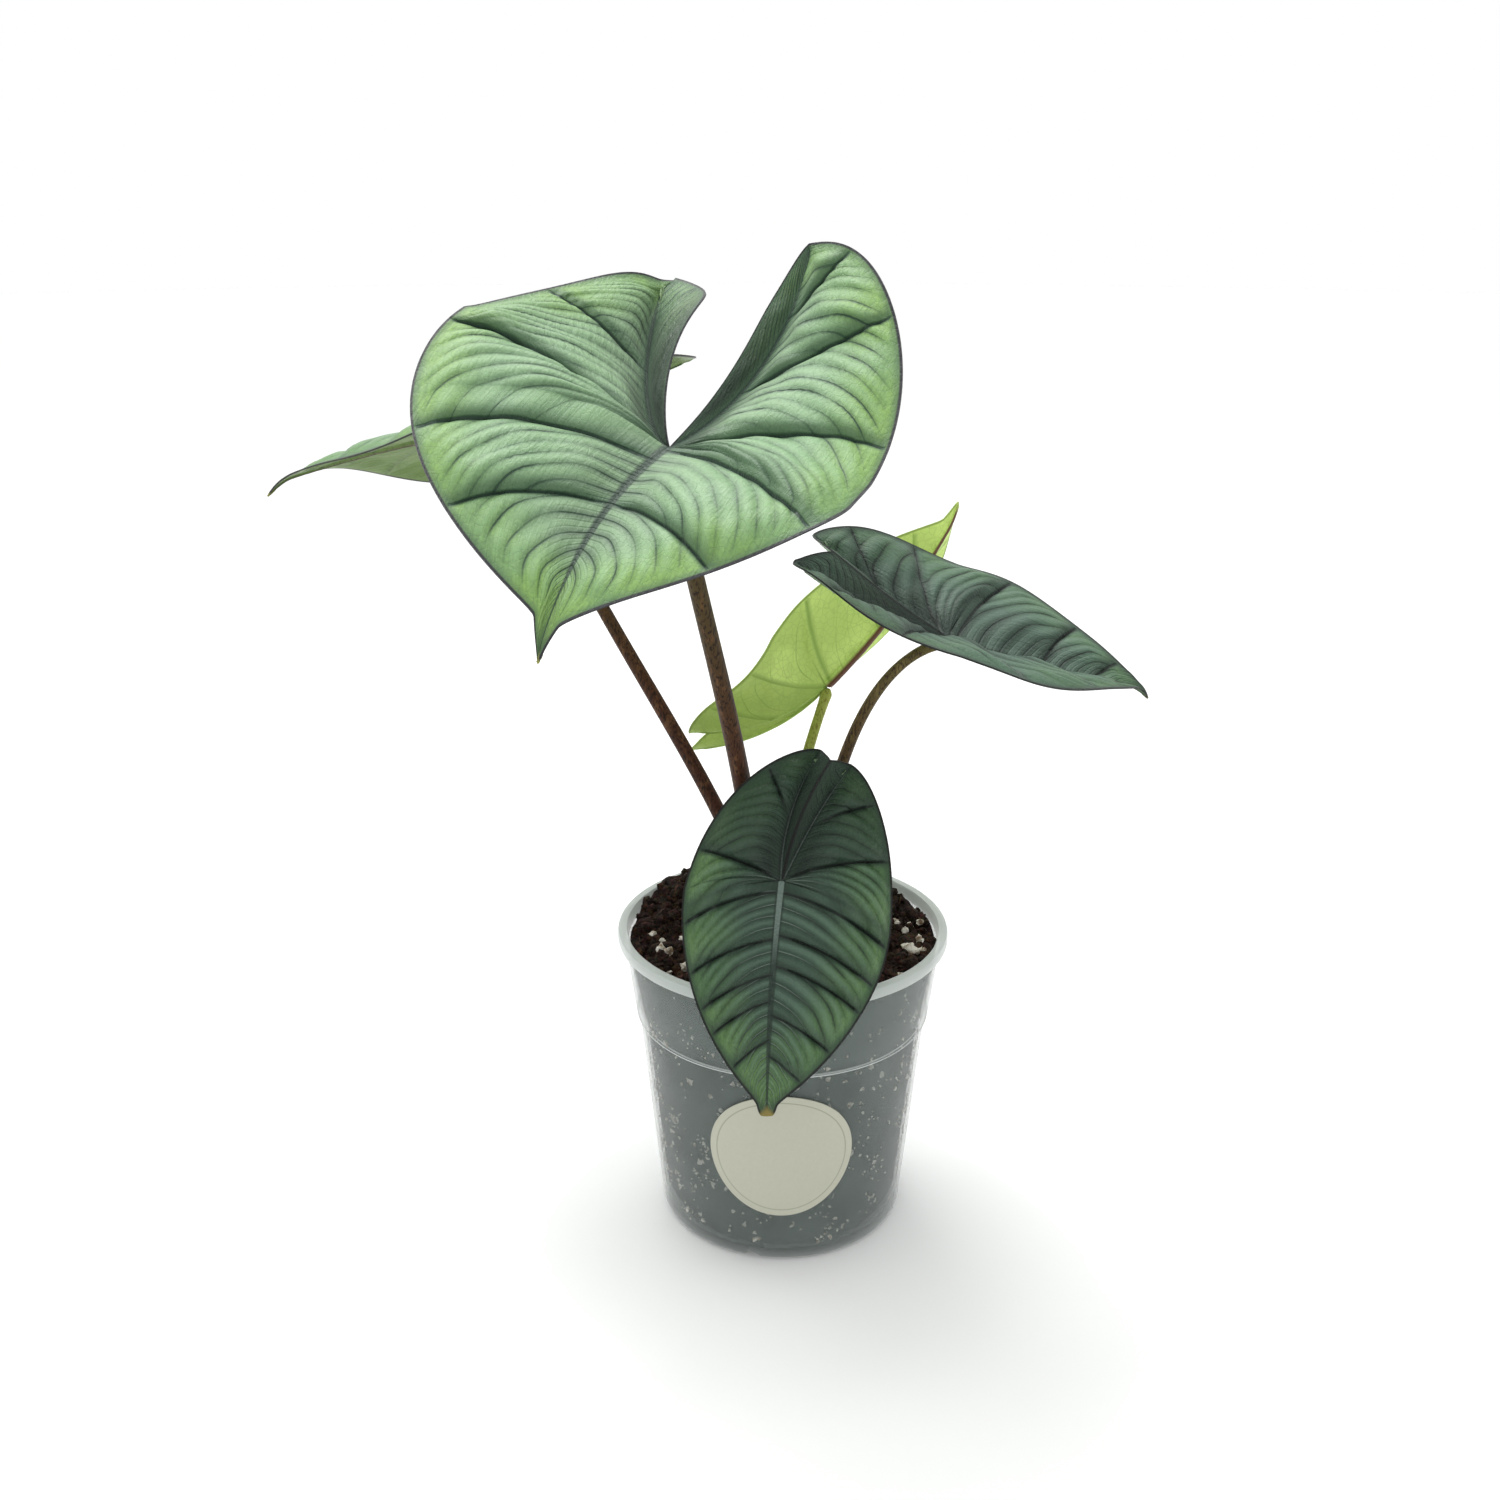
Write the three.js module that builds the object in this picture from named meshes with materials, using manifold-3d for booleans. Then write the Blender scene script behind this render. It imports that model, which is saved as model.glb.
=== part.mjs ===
// A potted alocasia with silvery arrow-shaped leaves, in a frosted nursery pot.
// Millimetres, +Z up. The origin is the centre of the pot's underside, and the plant faces -Y.
import * as THREE from 'three';
import { mergeVertices } from 'three/addons/utils/BufferGeometryUtils.js';
import Module from 'manifold-3d';

const wasm = await Module();
wasm.setup();

const gap = 0.3; // between pieces that touch
const degree = Math.PI / 180;

// Pot
const potHeight = 114;
const rimRadius = 60;
const rimHeight = 4.6;
const rimLip = 2.6; // how far the rim stands out from the wall
const stepHeight = 80.4; // where the stacking step runs round
const stepRadius = 53.8;
const stepDepth = 1;
const footRadius = 45.4;
const footRounding = 3.5;
const wallThickness = 1.5;
const channelDepth = 2; // raised ring under the pot
const channelInner = 13;
const channelOuter = 34;
const drainCount = 8;
const drainRadius = 3.5;
const drainCircle = 24;
const notchCount = 3;
const notchRadius = 3;
const notchTurn = -13; // degrees from the front
const potSides = 48;
const holeSides = 12;

// Label, a plain round sticker on the lower wall
const labelDiameter = 51.5;
const labelMiddle = 47;
const labelThickness = 0.6;
const labelRings = 5;
const labelSides = 28;

// Potting mix and the corm that the stalks grow from
const soilEdge = 107.5;
const soilHeap = 4;
const soilTilt = 4.5; // rise of the mix from the middle to the back wall
const soilLump = 1.6;
const soilRings = 11;
const soilSides = 36;
const soilRadius = rimRadius - 5; // where the heap has come down to the edge
const soilClearance = 0.9; // between the mix and the wall
const mound = { x: -40, y: 38, radius: 18, height: 6 }; // mix against the wall at the back left
const cormRadius = 15;
const cormBottom = 82;
const cormTop = 115;
const stalkSink = 19; // how deep a stalk stands in the corm
const stalkSteps = 14;
const stalkSides = 8;

// Blades. A half blade is a sheet of flow lines. Its column q runs 0 tip to 1 stalk along the midrib,
// 1 to 2 round the stalk, 2 to 3 out along the lobe vein and 3 to 4 back inside it. Its rows run from
// the vein to the margin. Laterals are the q of the main side veins, and first, fan and spread give
// the places where they end on the margin.
const bladeThickness = 0.9;
const ribHeight = 1.5;
const rowShares = [0, 0.08, 0.22, 0.38, 0.54, 0.7, 0.86, 1];
const columnRates = [10, 4, 6, 6]; // columns for each unit of q, the same on both sides of a lobe vein
const railSteps = 40;
const veinReach = 0.93; // share of a lobe that its vein runs
const hookStart = 0.86; // share of the midrib where a drip tip turns down
const dripWidth = 0.36; // half width of a drip tip for each unit of its length
const slant = 1.25; // how much the side veins lean towards the tip
const arch = 0.13; // bow of a side vein for each unit of its length
const puffRise = 14; // millimetres from the vein to the full height of a puffed panel
const puffFall = 5; // and from there down to the margin
const puffWidth = 24; // width of a panel that puffs up in full
const rippleRate = 9; // waves of the margin for each unit of place

const leaves = {
  large: {
    at: [-34, -65.5, 296], heading: -123, pitch: 17, roll: 0, tip: 86, notch: 0,
    bend: 32, sway: 12, twist: -1, hook: 10, dripTip: 0.14, puff: 3.6, wave: 1.2, detail: 1,
    left: {
      half: 68, widest: 15, lobe: 80, lobeY: 17, open: 0.2, square: 0.95, blunt: 0.78,
      fold: 8, cup: 22, foldIn: 54, release: 0.45, lift: 50, lobeSway: 3, lobeTwist: 14,
      first: 0.78, fan: 1.17, spread: 1, laterals: [0.26, 0.46, 0.64, 0.97, 2, 2.38, 2.75],
    },
    right: {
      half: 77, widest: -2, lobe: 76, lobeY: 60, open: 0.22, square: 1, blunt: 0.74,
      fold: 35, cup: 10, foldIn: 60, release: 0.6, lift: -6, lobeSway: -6, lobeTwist: -22,
      first: 0.62, fan: 0.91, spread: 1.7, laterals: [0.26, 0.46, 0.64, 0.9, 2, 2.5, 3.2],
    },
    stalk: { foot: [-7, -5], low: [-9, -18, 180], high: [-28, -50, 243], radii: [3.4, 2.3] },
    colour: '#8fb98a', stalkColour: '#5a4038',
  },
  back: {
    at: [-98.5, 53, 287], heading: -162, pitch: 6, roll: 21, tip: 92, notch: 0,
    bend: 12, sway: 1, twist: -11, hook: 40, dripTip: 0.1, puff: 2.2, wave: 1.2, detail: 0.8,
    left: {
      half: 58, widest: 6, lobe: 65, lobeY: 28, open: 0.6, square: 1, blunt: 0.8,
      fold: 2, cup: 15, foldIn: 25, release: 0, lift: 10, lobeSway: -2, lobeTwist: 2,
      first: 0.8, fan: 1.15, spread: 1.2, laterals: [0.25, 0.45, 0.67, 0.97, 1.7, 2.3, 2.65],
    },
    right: {
      half: 59, widest: 0, lobe: 63, lobeY: 28, open: 0.6, square: 1, blunt: 0.8,
      fold: 2, cup: 26, foldIn: 25, release: 0, lift: 10, lobeSway: 6, lobeTwist: -2,
      first: 0.8, fan: 1.15, spread: 1.2, laterals: [0.25, 0.45, 0.67, 0.97, 1.7, 2.3, 2.65],
    },
    stalk: { foot: [-7, 5], low: [-6, 14, 144], high: [-70, 38, 210], radii: [2.9, 1.9] },
    colour: '#86a36c', stalkColour: '#5a4038',
  },
  young: {
    at: [15.5, 44.5, 190.5], heading: 7, pitch: -45, roll: -35, tip: 84, notch: 48,
    bend: -16, sway: -8, twist: -19, hook: -20, dripTip: 0.1, puff: 1, wave: 0.8, detail: 0.7,
    left: {
      half: 32, widest: 29, lobe: 58, lobeY: 10, open: 0.5, square: 1, blunt: 0.8,
      fold: 25, cup: 14, foldIn: 34, release: 0, lift: 38, lobeSway: 15, lobeTwist: 10,
      first: 0.88, fan: 1.3, spread: 1, laterals: [0.35, 0.65, 0.97, 2, 2.45],
    },
    right: {
      half: 35, widest: 11, lobe: 55, lobeY: 10, open: 0.5, square: 1, blunt: 0.8,
      fold: 31, cup: 1, foldIn: 22, release: 0, lift: 49, lobeSway: 4, lobeTwist: 4,
      first: 0.88, fan: 1.3, spread: 1, laterals: [0.35, 0.65, 0.97, 2, 2.45],
    },
    stalk: { foot: [2, 9], low: [-2, 18, 140], high: [8, 36, 165], radii: [2.6, 1.8] },
    colour: '#9cc152', stalkColour: '#9aa84a',
  },
  right: {
    at: [54, -18, 226.5], heading: -4, pitch: 19, roll: 6, tip: 72, notch: 48,
    bend: -10, sway: 9, twist: 3, hook: 60, dripTip: 0.08, puff: 1.8, wave: 0.6, detail: 0.8,
    left: {
      half: 44, widest: 3, lobe: 55, lobeY: 21, open: 0.6, square: 1, blunt: 0.8,
      fold: 23, cup: 14, foldIn: 30, release: 0, lift: 13, lobeSway: -2, lobeTwist: 12,
      first: 0.78, fan: 1.22, spread: 1, laterals: [0.3, 0.55, 0.96, 2.05, 2.5],
    },
    right: {
      half: 42, widest: 7, lobe: 57, lobeY: 14, open: 0.6, square: 1, blunt: 0.8,
      fold: 18, cup: 8, foldIn: 36, release: 0, lift: 22, lobeSway: -5, lobeTwist: -2,
      first: 0.78, fan: 1.22, spread: 1, laterals: [0.3, 0.55, 0.96, 2.05, 2.5],
    },
    stalk: { foot: [9, 1], low: [12, -4, 152], high: [21, -12, 216], radii: [2.9, 1.6] },
    colour: '#5f7f6c', stalkColour: '#5c4a34',
  },
  front: {
    at: [-0.5, -48, 151.5], heading: -101, pitch: 56, roll: -13, tip: 77, notch: 44,
    bend: 20, sway: 7, twist: 0, hook: 0, dripTip: 0.05, puff: 1.9, wave: 0.5, detail: 0.8,
    left: {
      half: 38, widest: 9, lobe: 46, lobeY: 11, open: 0.6, square: 1.1, blunt: 0.75,
      fold: 16, cup: 31, foldIn: 57, release: 0, lift: 17, lobeSway: -19, lobeTwist: -2,
      first: 0.9, fan: 1.3, spread: 1, laterals: [0.26, 0.43, 0.64, 0.77, 0.95, 2, 2.47],
    },
    right: {
      half: 32, widest: 7, lobe: 45, lobeY: 4, open: 0.6, square: 1.4, blunt: 0.79,
      fold: 17, cup: 30, foldIn: 36, release: 0, lift: 14, lobeSway: -30, lobeTwist: -1,
      first: 0.9, fan: 1.23, spread: 1, laterals: [0.325, 0.49, 0.6, 0.75, 0.95, 2, 2.5],
    },
    stalk: { foot: [2, -9], low: [2, -14, 132], high: [0, -32, 149], radii: [2.8, 1.7] },
    colour: '#4b6457', stalkColour: '#5c4a34',
  },
};

// Solids

function toSolid(geometry) {
  const bare = geometry.clone();
  bare.deleteAttribute('normal');
  bare.deleteAttribute('uv');
  const merged = mergeVertices(bare, 1e-4);
  const index = dropSlivers(merged.index.array);
  return new wasm.Manifold(new wasm.Mesh({
    numProp: 3, vertProperties: merged.attributes.position.array, triVerts: Uint32Array.from(index),
  }));
}

function dropSlivers(index) {
  const kept = [];
  for (let i = 0; i < index.length; i += 3) {
    const [a, b, c] = [index[i], index[i + 1], index[i + 2]];
    if (a !== b && b !== c && c !== a) kept.push(a, b, c);
  }
  return kept;
}

function toGeometry(solid) {
  const mesh = solid.getMesh();
  const geometry = new THREE.BufferGeometry();
  geometry.setAttribute('position', new THREE.BufferAttribute(mesh.vertProperties, 3));
  geometry.setIndex(new THREE.BufferAttribute(mesh.triVerts, 1));
  return geometry;
}

function indexed(points, index) {
  const geometry = new THREE.BufferGeometry();
  const numbers = points.flatMap((point) => point.toArray());
  geometry.setAttribute('position', new THREE.Float32BufferAttribute(numbers, 3));
  geometry.setIndex(index);
  return geometry;
}

// A ring of profile points turned about +Z; the profile starts and ends on the axis.
function turned(profile, sides) {
  const points = profile.map(([radius, height]) => new THREE.Vector2(radius, height));
  return toSolid(new THREE.LatheGeometry(points, sides).rotateX(Math.PI / 2));
}

// Closes a sheet: the under face is its own triangles turned over, and a wall joins the two edges.
function thicken(tops, unders, index) {
  const count = tops.length;
  const all = [...index];
  const edges = new Map();
  for (let i = 0; i < index.length; i += 3) {
    const corners = [index[i], index[i + 1], index[i + 2]];
    all.push(corners[2] + count, corners[1] + count, corners[0] + count);
    corners.forEach((a, k) => edges.set(`${a}_${corners[(k + 1) % 3]}`, [a, corners[(k + 1) % 3]]));
  }
  for (const [a, b] of edges.values()) {
    if (!edges.has(`${b}_${a}`)) all.push(b, a, a + count, b, a + count, b + count);
  }
  return indexed([...tops, ...unders], all);
}

function vertexNormals(points, index) {
  const geometry = indexed(points, index);
  geometry.computeVertexNormals();
  const normal = geometry.attributes.normal;
  return points.map((_, i) => new THREE.Vector3().fromBufferAttribute(normal, i));
}

// Pot

function wallRadius(height) {
  if (height > stepHeight) {
    const share = (height - stepHeight) / (potHeight - rimHeight - stepHeight);
    return THREE.MathUtils.lerp(stepRadius, rimRadius - rimLip, share);
  }
  const share = (height - footRounding) / (stepHeight - footRounding);
  return THREE.MathUtils.lerp(footRadius, stepRadius - stepDepth, share);
}

function makePot() {
  const wallTop = potHeight - rimHeight;
  const floor = channelDepth + wallThickness;
  const profile = [
    [0, 0], [channelInner - 1, 0], [channelInner, channelDepth], [channelOuter, channelDepth],
    [channelOuter + 1, 0], [footRadius - footRounding, 0],
    [footRadius - footRounding * 0.3, footRounding * 0.3], [footRadius, footRounding],
    [stepRadius - stepDepth, stepHeight], [stepRadius, stepHeight + 0.6],
    [rimRadius - rimLip, wallTop], [rimRadius - 0.5, wallTop], [rimRadius, wallTop + 0.6],
    [rimRadius, potHeight - 0.8], [rimRadius - 0.8, potHeight], [rimRadius - rimLip, potHeight],
    [rimRadius - rimLip - wallThickness, potHeight - 1.4],
    [stepRadius - wallThickness, stepHeight + 2],
    [stepRadius - stepDepth - wallThickness, stepHeight - 2],
    [footRadius - wallThickness, floor + footRounding],
    [footRadius - wallThickness - footRounding, floor], [0, floor],
  ];
  let pot = turned(profile, potSides);
  const through = 4 * floor;
  for (let i = 0; i < drainCount; i++) {
    const turn = (i / drainCount) * 2 * Math.PI;
    const drill = new THREE.CylinderGeometry(drainRadius, drainRadius, through, holeSides);
    drill.rotateX(Math.PI / 2);
    drill.translate(drainCircle * Math.cos(turn), drainCircle * Math.sin(turn), 0);
    pot = pot.subtract(toSolid(drill));
  }
  for (let i = 0; i < notchCount; i++) {
    const cutter = new THREE.CylinderGeometry(notchRadius, notchRadius, through, holeSides);
    cutter.translate(0, -footRadius, 0);
    cutter.rotateZ((notchTurn + (i * 360) / notchCount) * degree);
    pot = pot.subtract(toSolid(cutter));
  }
  return toGeometry(pot);
}

function makeLabel() {
  const flat = [[0, 0]];
  for (let ring = 1; ring <= labelRings; ring++) {
    const reach = (ring / labelRings) * (labelDiameter / 2);
    for (let i = 0; i < labelSides; i++) {
      const turn = (i / labelSides) * 2 * Math.PI;
      flat.push([reach * Math.cos(turn), reach * Math.sin(turn)]);
    }
  }
  const index = [];
  for (let i = 0; i < labelSides; i++) {
    const next = (i + 1) % labelSides;
    index.push(0, 1 + i, 1 + next);
    for (let ring = 1; ring < labelRings; ring++) {
      const inner = 1 + (ring - 1) * labelSides;
      const outer = inner + labelSides;
      index.push(inner + i, outer + i, outer + next, inner + i, outer + next, inner + next);
    }
  }
  const onWall = (stand) => flat.map(([across, up]) => {
    const height = labelMiddle + up;
    const radius = wallRadius(height) + stand;
    const turn = across / wallRadius(labelMiddle);
    return new THREE.Vector3(radius * Math.sin(turn), -radius * Math.cos(turn), height);
  });
  return thicken(onWall(gap + labelThickness), onWall(gap), index);
}

// Potting mix and corm

function soilHeight(x, y) {
  const out = Math.hypot(x, y) / soilRadius;
  const heap = soilHeap * (1 - out * out);
  const tilt = soilTilt * Math.max(0, y / rimRadius) * out * out;
  const away = Math.hypot(x - mound.x, y - mound.y) / mound.radius;
  const heaped = mound.height * Math.exp(-away * away / 2);
  const lumps = Math.sin(x * 0.31 + 1.3) * Math.cos(y * 0.27 - 0.4)
    + 0.7 * Math.sin(x * 0.13 - y * 0.23 + 2);
  return soilEdge + heap + tilt + heaped + soilLump * lumps * Math.min(1, out * 3);
}

function innerRadius(height) {
  return wallRadius(height) - wallThickness - soilClearance;
}

function makeCorm() {
  const profile = [
    [0, cormBottom], [cormRadius - 2.5, cormBottom], [cormRadius, cormBottom + 4],
    [cormRadius, cormTop - 10], [cormRadius - 1.5, cormTop - 5],
    [cormRadius - 5, cormTop - 1.5], [0, cormTop],
  ];
  return turned(profile, 20);
}

function makeSoil() {
  const floor = channelDepth + wallThickness + gap;
  const bottomRadius = footRadius - wallThickness - footRounding - 2 * soilClearance;
  const rings = soilRings;
  const points = [];
  const index = [];
  const ringStart = (ring) => 1 + (ring - 1) * soilSides;
  points.push(new THREE.Vector3(0, 0, soilHeight(0, 0)));
  for (let ring = 1; ring <= rings; ring++) {
    for (let i = 0; i < soilSides; i++) {
      const turn = (i / soilSides) * 2 * Math.PI;
      const radius = (ring / rings) * innerRadius(soilEdge);
      const [x, y] = [radius * Math.cos(turn), radius * Math.sin(turn)];
      points.push(new THREE.Vector3(x, y, soilHeight(x, y)));
    }
  }
  const levels = [stepHeight + 3, stepHeight - 4, floor + 2 * footRounding, floor];
  for (const level of levels) {
    for (let i = 0; i < soilSides; i++) {
      const turn = (i / soilSides) * 2 * Math.PI;
      const radius = level === floor ? bottomRadius : innerRadius(level);
      points.push(new THREE.Vector3(radius * Math.cos(turn), radius * Math.sin(turn), level));
    }
  }
  const bottom = points.length;
  points.push(new THREE.Vector3(0, 0, floor));
  for (let i = 0; i < soilSides; i++) {
    const next = (i + 1) % soilSides;
    index.push(0, 1 + i, 1 + next);
    for (let ring = 1; ring < rings + levels.length; ring++) {
      const a = ringStart(ring);
      const b = ringStart(ring + 1);
      index.push(a + i, b + i, b + next, a + i, b + next, a + next);
    }
    const last = ringStart(rings + levels.length);
    index.push(bottom, last + next, last + i);
  }
  return toSolid(indexed(points, index));
}

// Stalks

// A round stalk along a curve, thinner towards the blade, with its upper end cut along the blade.
function tube(curve, lowRadius, highRadius, seat) {
  const [steps, sides] = [stalkSteps, stalkSides];
  const frames = curve.computeFrenetFrames(steps);
  const points = [curve.getPointAt(0)];
  for (let i = 0; i <= steps; i++) {
    const share = i / steps;
    const middle = curve.getPointAt(share);
    const radius = THREE.MathUtils.lerp(lowRadius, highRadius, share ** 0.7);
    for (let k = 0; k < sides; k++) {
      const turn = (k / sides) * 2 * Math.PI;
      const spoke = frames.normals[i].clone().multiplyScalar(radius * Math.cos(turn));
      spoke.addScaledVector(frames.binormals[i], radius * Math.sin(turn)).add(middle);
      if (i === steps && seat) {
        const below = seat.point.clone().sub(spoke).dot(seat.normal);
        spoke.addScaledVector(frames.tangents[i], below / frames.tangents[i].dot(seat.normal));
      }
      points.push(spoke);
    }
  }
  const top = points.length;
  points.push(curve.getPointAt(1));
  const index = [];
  for (let k = 0; k < sides; k++) {
    const next = (k + 1) % sides;
    index.push(0, 1 + next, 1 + k);
    for (let i = 0; i < steps; i++) {
      const a = 1 + i * sides;
      const b = a + sides;
      index.push(a + k, a + next, b + next, a + k, b + next, b + k);
    }
    index.push(top, 1 + steps * sides + k, 1 + steps * sides + next);
  }
  return indexed(points, index);
}

function stalkCurve(stalk, end) {
  const low = new THREE.Vector3(...stalk.low);
  const foot = new THREE.Vector3(...stalk.foot, cormTop - stalkSink);
  return new THREE.CubicBezierCurve3(foot, low, new THREE.Vector3(...stalk.high), end);
}

// Blades

// Frames from the stalk along the midrib, or back along the middle of a lobe.
function rail(leaf, length, way, bend, sway, twist, hook) {
  const [h, p, r] = [leaf.heading * degree, leaf.pitch * degree, leaf.roll * degree];
  const ahead = new THREE.Vector3(Math.cos(h) * Math.cos(p), Math.sin(h) * Math.cos(p), -Math.sin(p));
  const side = new THREE.Vector3(-Math.sin(h), Math.cos(h), 0).applyAxisAngle(ahead, r);
  const up = new THREE.Vector3().crossVectors(ahead, side);
  const point = new THREE.Vector3(...leaf.at);
  const frames = [{ point: point.clone(), ahead: ahead.clone(), side: side.clone(), up: up.clone() }];
  for (let i = 0; i < railSteps; i++) {
    point.addScaledVector(ahead, way * length / railSteps);
    const hooked = i / railSteps > hookStart ? hook / (1 - hookStart) : 0;
    const bow = (bend + hooked) * degree / railSteps;
    const swing = sway * degree / railSteps;
    ahead.applyAxisAngle(side, bow).applyAxisAngle(up.applyAxisAngle(side, bow), swing);
    side.applyAxisAngle(up, swing).applyAxisAngle(ahead, twist * degree / railSteps);
    up.crossVectors(ahead, side).normalize();
    frames.push({ point: point.clone(), ahead: ahead.clone(), side: side.clone(), up: up.clone() });
  }
  return { length, frames };
}

function addRails(leaf) {
  leaf.midRail = rail(leaf, leaf.tip, 1, leaf.bend, leaf.sway, leaf.twist, leaf.hook);
  for (const half of [leaf.left, leaf.right]) {
    half.lobeRail = rail(leaf, half.lobe, -1, half.lift, half.lobeSway, half.lobeTwist, 0);
  }
}

function frameAt(line, distance) {
  const place = Math.min(Math.abs(distance) / line.length, 0.9999) * railSteps;
  const [a, b] = [line.frames[Math.floor(place)], line.frames[Math.floor(place) + 1]];
  const share = place % 1;
  return {
    point: a.point.clone().lerp(b.point, share),
    side: a.side.clone().lerp(b.side, share),
    up: a.up.clone().lerp(b.up, share),
  };
}

function veinOffset(half, x) {
  if (x >= 0) return 0;
  return 1.02 * half.lobeY * Math.min(-x / (veinReach * half.lobe), 1.1) ** 0.8;
}

// A point of the unfolded half blade, bent, folded at its vein and cupped.
function foldedPoint(leaf, half, side, x, y) {
  const frame = frameAt(x >= 0 ? leaf.midRail : half.lobeRail, x);
  const vein = veinOffset(half, x);
  const out = Math.abs(y - vein);
  const lobeShare = THREE.MathUtils.clamp(-x / half.lobe, 0, 1);
  const foldIn = half.foldIn * degree * (1 - half.release * lobeShare ** 2);
  let [across, rise] = [vein - out * Math.cos(foldIn), out * Math.sin(foldIn)];
  if (y >= vein) {
    const curl = half.cup * degree / half.half;
    const slope = half.fold * degree;
    across = vein + (Math.sin(slope) - Math.sin(slope - curl * out)) / curl;
    rise = (Math.cos(slope - curl * out) - Math.cos(slope)) / curl;
  }
  return frame.point.addScaledVector(frame.side, side * across).addScaledVector(frame.up, rise);
}

// The two halves meet on one line between the lobes.
function bladePoint(leaf, side, x, y) {
  const half = side > 0 ? leaf.left : leaf.right;
  const point = foldedPoint(leaf, half, side, x, y);
  const vein = veinOffset(half, x);
  if (x >= 0 || y >= vein || leaf.notch === 0) return point;
  const other = side > 0 ? leaf.right : leaf.left;
  const mine = foldedPoint(leaf, half, side, x, 0);
  const shared = foldedPoint(leaf, other, -side, x, 0).add(mine).multiplyScalar(0.5);
  const past = THREE.MathUtils.smoothstep(-x, leaf.notch, leaf.notch + 12);
  return point.addScaledVector(shared.sub(mine), (1 - y / vein) * (1 - past));
}

// Margin of the unfolded half: 0 is the tip, 1 the widest place, 2 the lobe's end, 3 the notch.
function margin(leaf, half, place) {
  if (place <= 1) {
    const full = Math.max(0, (place - leaf.dripTip) / (1 - leaf.dripTip));
    const main = Math.sin((Math.PI / 2) * full ** half.blunt);
    const taper = Math.min(1, place / leaf.dripTip) ** 1.3 * (1 - main);
    const drip = dripWidth * leaf.dripTip * leaf.tip * taper;
    return [leaf.tip - (leaf.tip - half.widest) * place, half.half * main + drip];
  }
  const turn = ((place % 1 || 1) * Math.PI) / 2;
  if (place <= 2) {
    const back = (half.widest + half.lobe) * Math.sin(turn) ** half.square;
    const lateral = Math.max(0, Math.cos(turn)) ** half.square;
    return [half.widest - back, half.lobeY + (half.half - half.lobeY) * lateral];
  }
  if (place <= 3) {
    const share = place - 2;
    const depth = half.lobe - leaf.notch;
    const round = [-leaf.notch - depth * Math.cos(turn), half.lobeY * (1 - Math.sin(turn))];
    const straight = [-half.lobe + depth * share, half.lobeY * (1 - share)];
    return round.map((value, i) => THREE.MathUtils.lerp(value, straight[i], half.open));
  }
  return [-leaf.notch * (4 - place), 0];
}

function seamShare(leaf) {
  return (2 * leaf.notch) / (leaf.left.lobe + leaf.right.lobe);
}

// Margin place of column q, and its starting point on the vein.
function columnEnds(leaf, half, q) {
  if (q < 1) return { place: half.first * q ** slant, startX: leaf.tip * (1 - q) };
  if (q < 2) return { place: half.first + (half.fan - half.first) * (q - 1), startX: 0 };
  const share = q <= 3 ? q - 2 : 4 - q;
  const startX = -veinReach * half.lobe * share;
  if (q <= 3) return { place: half.fan + (2 - half.fan) * share ** half.spread, startX };
  const seam = seamShare(leaf);
  const place = share >= seam ? 2 + (1 - share) / (1 - seam) : 3 + (seam - share) / seam;
  return { place, startX };
}

// Columns stop at every lateral that the two halves must share along the midrib and the notch.
function columnList(leaf, half) {
  const both = [...leaf.left.laterals, ...leaf.right.laterals];
  const onLobe = (leaf.notch > 0 ? both : half.laterals).filter((q) => q > 2);
  const lobe = [2 + seamShare(leaf), ...onLobe.map((q) => Math.min(q, 6 - q))];
  const stops = new Set([
    0, 1, 2, 3, 4, ...both.filter((q) => q < 1), ...half.laterals.filter((q) => q > 1 && q < 2),
    ...lobe, ...lobe.map((q) => 6 - q),
  ]);
  const sorted = [...stops].sort((a, b) => a - b);
  const columns = [0];
  for (let i = 1; i < sorted.length; i++) {
    const [low, high] = [sorted[i - 1], sorted[i]];
    const count = Math.max(1, Math.round((high - low) * columnRates[Math.floor(low)] * leaf.detail));
    for (let k = 1; k <= count; k++) columns.push(low + ((high - low) * k) / count);
  }
  return columns;
}

// A flow line from the vein to the margin, as a function of its share t.
function flowLine(leaf, half, q) {
  const { place, startX } = columnEnds(leaf, half, q);
  const startY = veinOffset(half, startX);
  const [endX, endY] = margin(leaf, half, place);
  const bow = arch * THREE.MathUtils.clamp(1.8 - place, 0, 1) * Math.min(place / 0.25, 1);
  const bowX = (startX + endX) / 2 - (endY - startY) * bow;
  const bowY = (startY + endY) / 2 + (endX - startX) * bow;
  const blend = (t, [a, b, c]) => (1 - t) ** 2 * a + 2 * t * (1 - t) * b + t * t * c;
  const at = (t) => [blend(t, [startX, bowX, endX]), blend(t, [startY, bowY, endY])];
  return { place, at, length: Math.hypot(endX - startX, endY - startY) };
}

// Height of the puffed panel under column q: nothing at its side veins, and fullest between them.
function panelDome(leaf, half, q) {
  const edges = [0, 3, 4, ...half.laterals].sort((a, b) => a - b);
  const panel = Math.min(edges.findLastIndex((edge) => edge <= q), edges.length - 2);
  const share = (q - edges[panel]) / (edges[panel + 1] - edges[panel]);
  const before = flowLine(leaf, half, edges[panel]).at(0.6);
  const after = flowLine(leaf, half, edges[panel + 1]).at(0.6);
  const width = Math.hypot(after[0] - before[0], after[1] - before[1]);
  const fullness = Math.min(1, width / puffWidth) * (q > 3 ? 0.5 : 1);
  return leaf.puff * fullness * Math.max(0, Math.sin(Math.PI * share ** 0.62)) ** 0.85;
}

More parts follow.
